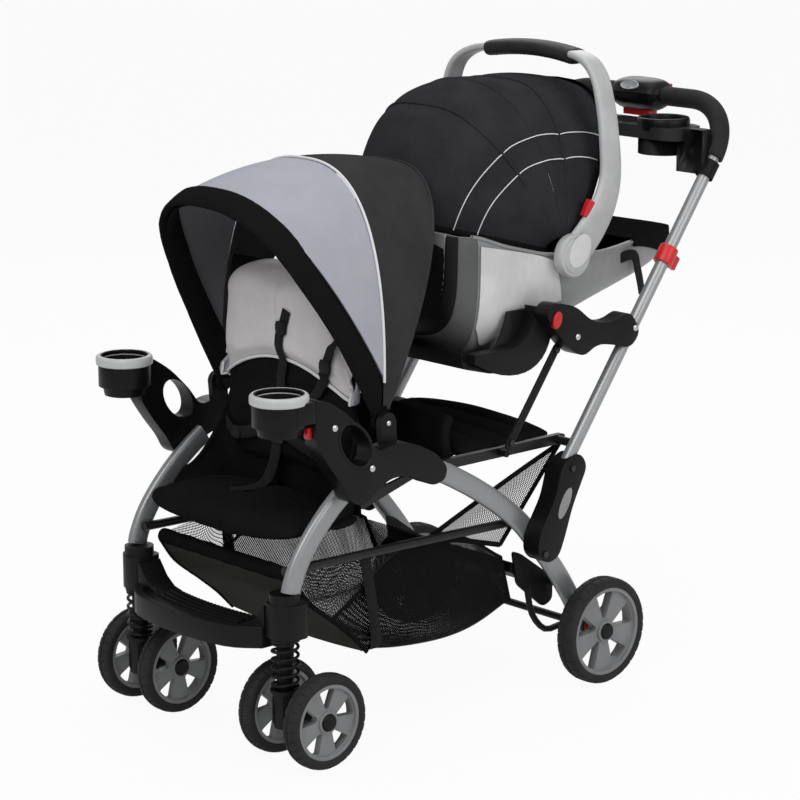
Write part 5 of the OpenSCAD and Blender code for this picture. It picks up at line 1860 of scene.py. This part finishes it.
@dataclass
class FrontSeat(SoftGoods):
    """Front seat: cushion, backrest with a heather insert, wings and five-point harness."""

    half: float = 168.0
    low: float = 655.0
    top: float = 822.0
    # Shoulder straps as they lie in the photograph, across and up the backrest
    straps: dict[Side, Outline] = field(default_factory=lambda: {
        Side.RIGHT: ((148, 706), (137, 672), (119, 634), (84, 590), (30, 552)),
        Side.LEFT: ((37, 744), (29, 720), (17, 690), (12, 610), (4, 552)),
    })
    # Lap strap of the right side, across and up; crotch strap; section line of a slider
    lap: Outline = ((150, 520), (120, 505), (84, 508), (52, 518), (24, 526))
    crotch: Outline = ((0, -366, 505), (-2, -372, 470), (-8, -386, 436), (-22, -410, 425), (-40, -440, 424))
    slide: Outline = ((0, -1, 11), (0, -2, 4), (0, -2, -4), (0, -1, -11))

    def build(self) -> None:
        """Make the cushions, then what lies on them."""
        self.cushion("front_seat_pad", "front_seat_cushion", Looks.BLACK_CLOTH, Body.CHASSIS, self.seat_seams)
        back = self.cushion(
            "front_back_pad", "front_back_cushion", Looks.BLACK_CLOTH, Body.BACKREST, self.back_seams,
            lambda size: size.z > 0.2,
        )
        barrel = Shape.lathe([(7, -150), (11.5, -150), (11.5, 150), (7, 150)], (0, -330, 430), 32)
        self.piece("back_barrel", barrel, Looks.BLACK, Body.BACKREST)
        self.insert(back)
        self.harness(back)
        self.wings()

    def seat_seams(self, p: Grid) -> Grid:
        """Seams of the seat: two curves across."""
        front = np.abs(p[:, 1] + 492 - 0.0007 * p[:, 0] ** 2)
        rear = np.abs(p[:, 1] + 424 - 0.0004 * p[:, 0] ** 2)
        line = np.minimum(front, rear)
        return np.exp(-((line / 5) ** 2))

    def back_seams(self, p: Grid) -> Grid:
        """Seams of the backrest: the insert's lower edge."""
        line = np.abs(p[:, 2] - self.edge(p[:, 0]))
        return np.exp(-((line / 5) ** 2))

    def edge(self, x: Grid) -> Grid:
        """Height of the insert's lower edge."""
        return self.low - 44 * (x / 150) ** 2

    def insert(self, back: bpy.types.Object) -> None:
        """Heather insert in two halves with white piping under it.

        Args:
            back: The filled backrest.
        """
        u, v = np.linspace(-1, 1, 65), np.linspace(0, 1, 25)[:, None]
        x = self.half * u
        high = 690 + (self.top - 690) * (1 - np.abs(u) ** 3) ** 0.5
        z = self.edge(x) + v * np.maximum(high - self.edge(x), 4)
        off = np.stack([np.broadcast_to(x, z.shape), np.full(z.shape, -430.0), z], 2)
        puff = (1 - np.abs(u) ** 6) * (1 - np.abs(2 * v - 1) ** 6)
        seam = 3.0 * np.exp(-((x / 4) ** 2))
        rows = self.laid(back, off, (0, 1, 0), 2.0 + 5.0 * puff - seam * puff)
        obj = self.cloth(
            "back_insert", Shape.lattice(rows), Looks.HEATHER, Body.BACKREST, thickness=3.0, sharp=60.0,
        )
        cord = rows[0] + np.array([0, -3.0, -1.0])
        self.piece("back_piping", Shape.sweep(cord, (0, 0, 1), 6.0, 6.0, 10), Looks.PIPING, Body.BACKREST)

    def harness(self, back: bpy.types.Object) -> None:
        """Webbing over the backrest, its sliders and the buckle round the red button.

        Args:
            back: The filled backrest.
        """
        for side in Side:
            s = side.value
            across = (1, 0, 0.2 * s)
            for name, line in (("shoulder", self.straps[side]), ("lap", [(x * s, z) for x, z in self.lap])):
                flat = through([(x, -430, z) for x, z in line], 6)
                path = self.laid(back, flat, (0, 1, 0), 9.0)
                web = Shape.sweep(path, across if name == "shoulder" else (0, 0, 1), 22.0, 2.4, 8, 0.5)
                nodes = ["harness"] if name == "shoulder" and s > 0 else []
                self.piece(f"harness_{name}_{side.word}", web, Looks.STRAP, Body.BACKREST, *nodes)
                slide = Shape.sweep(
                    path[8] + np.array(self.slide), across, np.array([24, 28, 28, 24]), 7.0, 16, 0.6,
                )
                self.piece(f"harness_slide_{name}_{side.word}", slide, Looks.BLACK, Body.BACKREST)
        t = np.linspace(0, 2 * math.pi, 48, endpoint=False)
        outer = np.stack([23 * power(np.cos(t), 0.45), 27 * power(np.sin(t), 0.45)], 1)
        inner = np.stack([9.4 * np.cos(t), 9.4 * np.sin(t)], 1)
        rows = [
            (outer, 25), (outer, 36), (outer * 0.92, 38.6), (inner * 1.15, 39), (inner, 38.2), (inner, 28),
            (outer * 0.9, 25), (outer, 25),
        ]
        grid = np.stack([np.column_stack([q[:, 0], np.full(48, -330.0 - w), 527 + q[:, 1]]) for q, w in rows])
        self.piece("harness_buckle", Shape.lattice(grid, True), Looks.BLACK_SATIN, Body.BACKREST)
        self.dress(Looks.RED, "buckle_button")
        web = Shape.sweep(through(self.crotch, 6), (1, 0, 0), 26.0, 2.6, 8, 0.5)
        self.piece("harness_crotch", web, Looks.STRAP, Body.CHASSIS)

    def wings(self) -> None:
        """Padded wings beside the backrest, grey above and black below, with piping, and the sling."""
        start, end = (0.0, -0.43, 0.5), (0.0, -0.34, 0.5)
        # Name, foot, top, fall of the top, reach forwards and finish
        shapes = (
            ("lower", 404, 578, 148, 114, Looks.BLACK_CLOTH),
            ("upper", 596, 640, 22, 22, Looks.GREY_CLOTH),
        )
        for side in Side:
            v, w = np.linspace(0, 1, 17)[:, None], np.linspace(0, 1, 13)[None]
            for name, foot, high, drop, reach, finish in shapes:
                z = foot + v * (high - drop * (1 - (1 - w) ** 1.9) - foot)
                x = 170 + 32 * w * reach / 104 + 5 * np.sin(math.pi * v) * np.sin(math.pi * w)
                y = -326 - reach * w * (1 - 0.2 * v)
                rows = np.stack(np.broadcast_arrays(x, y, z), 2)
                shape, word = Shape.lattice(rows).on(side), f"seat_wing_{name}_{side.word}"
                obj = self.cloth(word, shape, finish, Body.CHASSIS, thickness=7.0, offset=0.0)
                self.gather(obj, Body.CHASSIS, Body.BACKREST, start, end)
            rim = np.concatenate([rows[::-1, -1], rows[0, ::-1]])
            line = through(rim[::4], 4) + np.array([-4, 0, 0])
            cord = Shape.sweep(line, (1, 0, 0.3), 4.6, 4.6, 10).on(side)
            trim = self.piece(f"seat_wing_piping_{side.word}", cord, Looks.PIPING, Body.CHASSIS)
            self.gather(trim, Body.CHASSIS, Body.BACKREST, start, end)
        u, v = np.linspace(-1, 1, 33)[None], np.linspace(0, 1, 9)[:, None]
        sling = np.stack(np.broadcast_arrays(196 * u, -342 - 3 * np.sin(math.pi * v), 402 + 92 * v), 2)
        obj = self.cloth("seat_sling", Shape.lattice(sling), Looks.BLACK_CLOTH, Body.CHASSIS)


@dataclass
class RearSeat(SoftGoods):
    """Rear bench with its folded flap."""

    def build(self) -> None:
        """Make the bench cushion and its flap."""
        self.cushion(
            "rear_bench_pad", "rear_bench_cushion", Looks.BLACK_CLOTH, Body.CHASSIS, self.bench_seams,
            lambda size: size.y > 0.1,
        )
        u, v = np.linspace(-1, 1, 41)[None], np.linspace(0, 1, 13)[:, None]
        deep = -103 - 13 * np.sin(math.pi * v) ** 0.6 - 2 * np.cos(4 * math.pi * u)
        shape = Shape.lattice(np.stack(np.broadcast_arrays(181 * u, deep, 468 + 66 * v), 2))
        roll = {"thickness": 20.0, "offset": 0.9, "sharp": 75.0}
        flap = self.cloth("rear_bench_flap", shape, Looks.BLACK_CLOTH, Body.CHASSIS, **roll)

    def bench_seams(self, p: Grid) -> Grid:
        """Seams across the bench."""
        line = np.min([np.abs(p[:, 1] - y) for y in (-36, 20, 76)], axis=0)
        return np.exp(-((line / 5) ** 2))


@dataclass
class Basket(SubAssembly):
    """Sewn basket: solid front panel, hanging net body, high rear nets and bindings."""

    half: float = 184.0
    # Share of the net's width that forms the bottom
    bottom: float = 0.52
    # Lines (y, z) down the front panel, and along the net's foot and head
    fall: Outline = ((-484, 312), (-452, 268), (-402, 228), (-356, 190), (-320, 153))
    foot: Outline = ((-318, 154), (-225, 138), (-120, 131), (-40, 140), (38, 168))
    head: Outline = ((-404, 226), (-330, 270), (-235, 318), (-100, 318), (4, 262))
    # Lower and upper lines (y, z) of the upper nets and of the high rear nets
    upper_low: Outline = ((-478, 318), (-440, 262), (-404, 228), (-330, 271), (-236, 318))
    upper_high: Outline = ((-478, 322), (-420, 331), (-360, 330), (-300, 328), (-236, 326))
    rear_low: Outline = ((-172, 326), (-110, 316), (-50, 300), (0, 286))
    rear_high: Outline = ((-172, 334), (-60, 376), (50, 416), (150, 450))
    # Strap down the side: distance outside the net's half width, place and height
    strap: Outline = ((7, -330, 326), (10, -318, 250), (2, -300, 165), (-34, -292, 143))

    def build(self) -> None:
        """Make the panels, the nets and the trims."""
        bar = np.array([[x, -478, 318] for x in np.linspace(-self.half, self.half, 25)])
        lumps = 26 + 1.4 * np.sin(np.arange(25) * 1.7)
        pad = Shape.sweep(bar, (0, 1, 0), lumps, lumps, 20)
        roll = self.piece("basket_front_roll", pad, Looks.BLACK_CLOTH, Body.CHASSIS, "basket")
        self.front()
        self.body()
        for side in Side:
            self.rear_net(side)

    def front(self) -> None:
        """Solid front panel that bows inwards as it falls."""
        u, v = np.linspace(-1, 1, 33)[None], np.linspace(0, 1, 17)[:, None]
        line = through(self.fall, 4)
        y = line[:, 0][:, None] + 18 * (1 - u**2) * np.sin(math.pi * v)
        z = line[:, 1][:, None] - 8 * (1 - u**2) * v
        rows = np.stack(np.broadcast_arrays(self.half * u, y, z), 2)
        obj = self.cloth("basket_front", Shape.lattice(rows), Looks.OLIVE, Body.CHASSIS, sharp=60.0)
        edge = Shape.sweep(rows[:, -1] + np.array([0.5, 0, 0]), (1, 0, 0), 5.0, 9.0, 10)
        self.pair("basket_front_binding", edge, Looks.BINDING, Body.CHASSIS)

    def body(self) -> None:
        """Net sides and bottom in one hanging sheet, then the rear wall, the upper nets and the straps."""
        y = np.linspace(0, 1, 29)
        foot, head = through(self.foot, 7), through(self.head, 7)
        across = np.linspace(-1, 1, 49)
        wall = np.clip((np.abs(across) - self.bottom) / (1 - self.bottom), 0, 1)
        share, sign = across / self.bottom, np.sign(across)
        x = np.where(np.abs(share) > 1, sign * (self.half - 10 + 10 * wall), share * (self.half - 10))
        rows = []
        for i in range(29):
            yy = foot[i, 0] + (head[i, 0] - foot[i, 0]) * wall
            sag = 7 * (1 - share**2).clip(0) * math.sin(math.pi * y[i])
            zz = foot[i, 1] + (head[i, 1] - foot[i, 1]) * wall - sag
            bulge = 9 * np.sin(math.pi * wall) * math.sin(math.pi * y[i])
            pleat = 2.0 * np.sin(y[i] * 15 * math.pi) * wall * (1 - wall) * 4
            rows.append(np.column_stack([x + sign * (bulge + pleat), yy, zz]))
        rows = np.stack(rows)
        obj = self.cloth("basket_net", Shape.lattice(rows), Looks.NET, Body.CHASSIS, thickness=1.0)
        hem = Shape.sweep(rows[-1], (0, 1, 0), 9.0, 4.0, 10)
        self.piece("basket_rear_binding", hem, Looks.BINDING, Body.CHASSIS)
        u, v = np.linspace(-1, 1, 33)[None], np.linspace(0, 1, 13)[:, None]
        deep = 38 - 32 * v + 10 * np.sin(math.pi * v) * (1 - u**2)
        high = 168 + 92 * v - 7 * (1 - u**2) * (1 - v)
        sheet = np.stack(np.broadcast_arrays((self.half - 4) * u, deep, high), 2)
        shape = Shape.lattice(sheet[:, ::-1])
        rear = self.cloth("basket_rear_wall", shape, Looks.NET, Body.CHASSIS, thickness=1.2)
        hem = Shape.sweep(rows[:, -1], (0, 0, 1), 6.0, 3.0, 10, 0.7)
        self.pair("basket_rail_hem", hem, Looks.BINDING, Body.CHASSIS)
        low, high = through(self.upper_low, 5), through(self.upper_high, 5)
        v = np.linspace(0, 1, 13)[:, None, None]
        flat = low[None] + v * (high - low)[None]
        mesh = np.concatenate([np.full((*flat.shape[:2], 1), self.half + 1.0), flat], 2)
        for side in Side:
            shape, name = Shape.lattice(mesh).on(side), f"basket_upper_net_{side.word}"
            net = self.cloth(name, shape, Looks.OPEN_NET, Body.CHASSIS, thickness=1.0)
        strap = through([(self.half + out, y, z) for out, y, z in self.strap], 6)
        web = Shape.sweep(strap, (0, 1, 0), 24.0, 2.4, 8, 0.5)
        self.pair("basket_strap", web, Looks.STRAP, Body.CHASSIS)

    def rear_net(self, side: Side) -> None:
        """High net from the rail up to the hinge bracket, bound all round.

        Args:
            side: The side that it hangs on.
        """
        low, high = through(self.rear_low, 8), through(self.rear_high, 8)
        v = np.linspace(0, 1, 17)[:, None, None]
        flat = low[None] + v * (high - low)[None]
        belly = 9 * np.sin(math.pi * v[..., 0]) * np.sin(np.linspace(0, math.pi, len(low)))[None]
        rows = np.concatenate([(self.half + 3 - belly)[..., None], flat], 2)
        shape = Shape.lattice(rows).on(side)
        obj = self.cloth(f"rear_net_{side.word}", shape, Looks.OPEN_NET, Body.CHASSIS, thickness=1.0)
        for name, line in (("low", rows[0]), ("high", rows[-1]), ("rear", rows[:, -1])):
            hem = Shape.sweep(line, (1, 0, 0), 5.0, 10.0, 10)
            self.piece(f"rear_net_{name}_{side.word}", hem.on(side), Looks.BINDING, Body.CHASSIS)


def main() -> None:
    """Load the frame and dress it."""
    logging.basicConfig(level=logging.INFO, format="%(name)s: %(message)s")
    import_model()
    Studio().build()
    kinds = (Chassis, Wheels, Castors, PushHandle, FrontCanopy, FrontSeat, RearSeat, Basket, Carrier)
    for assembly in [kind() for kind in kinds]:
        assembly.build()
        for name in assembly.made:
            log.info("%s: %s", type(assembly).__name__, name)


if __name__ == "__main__":
    main()
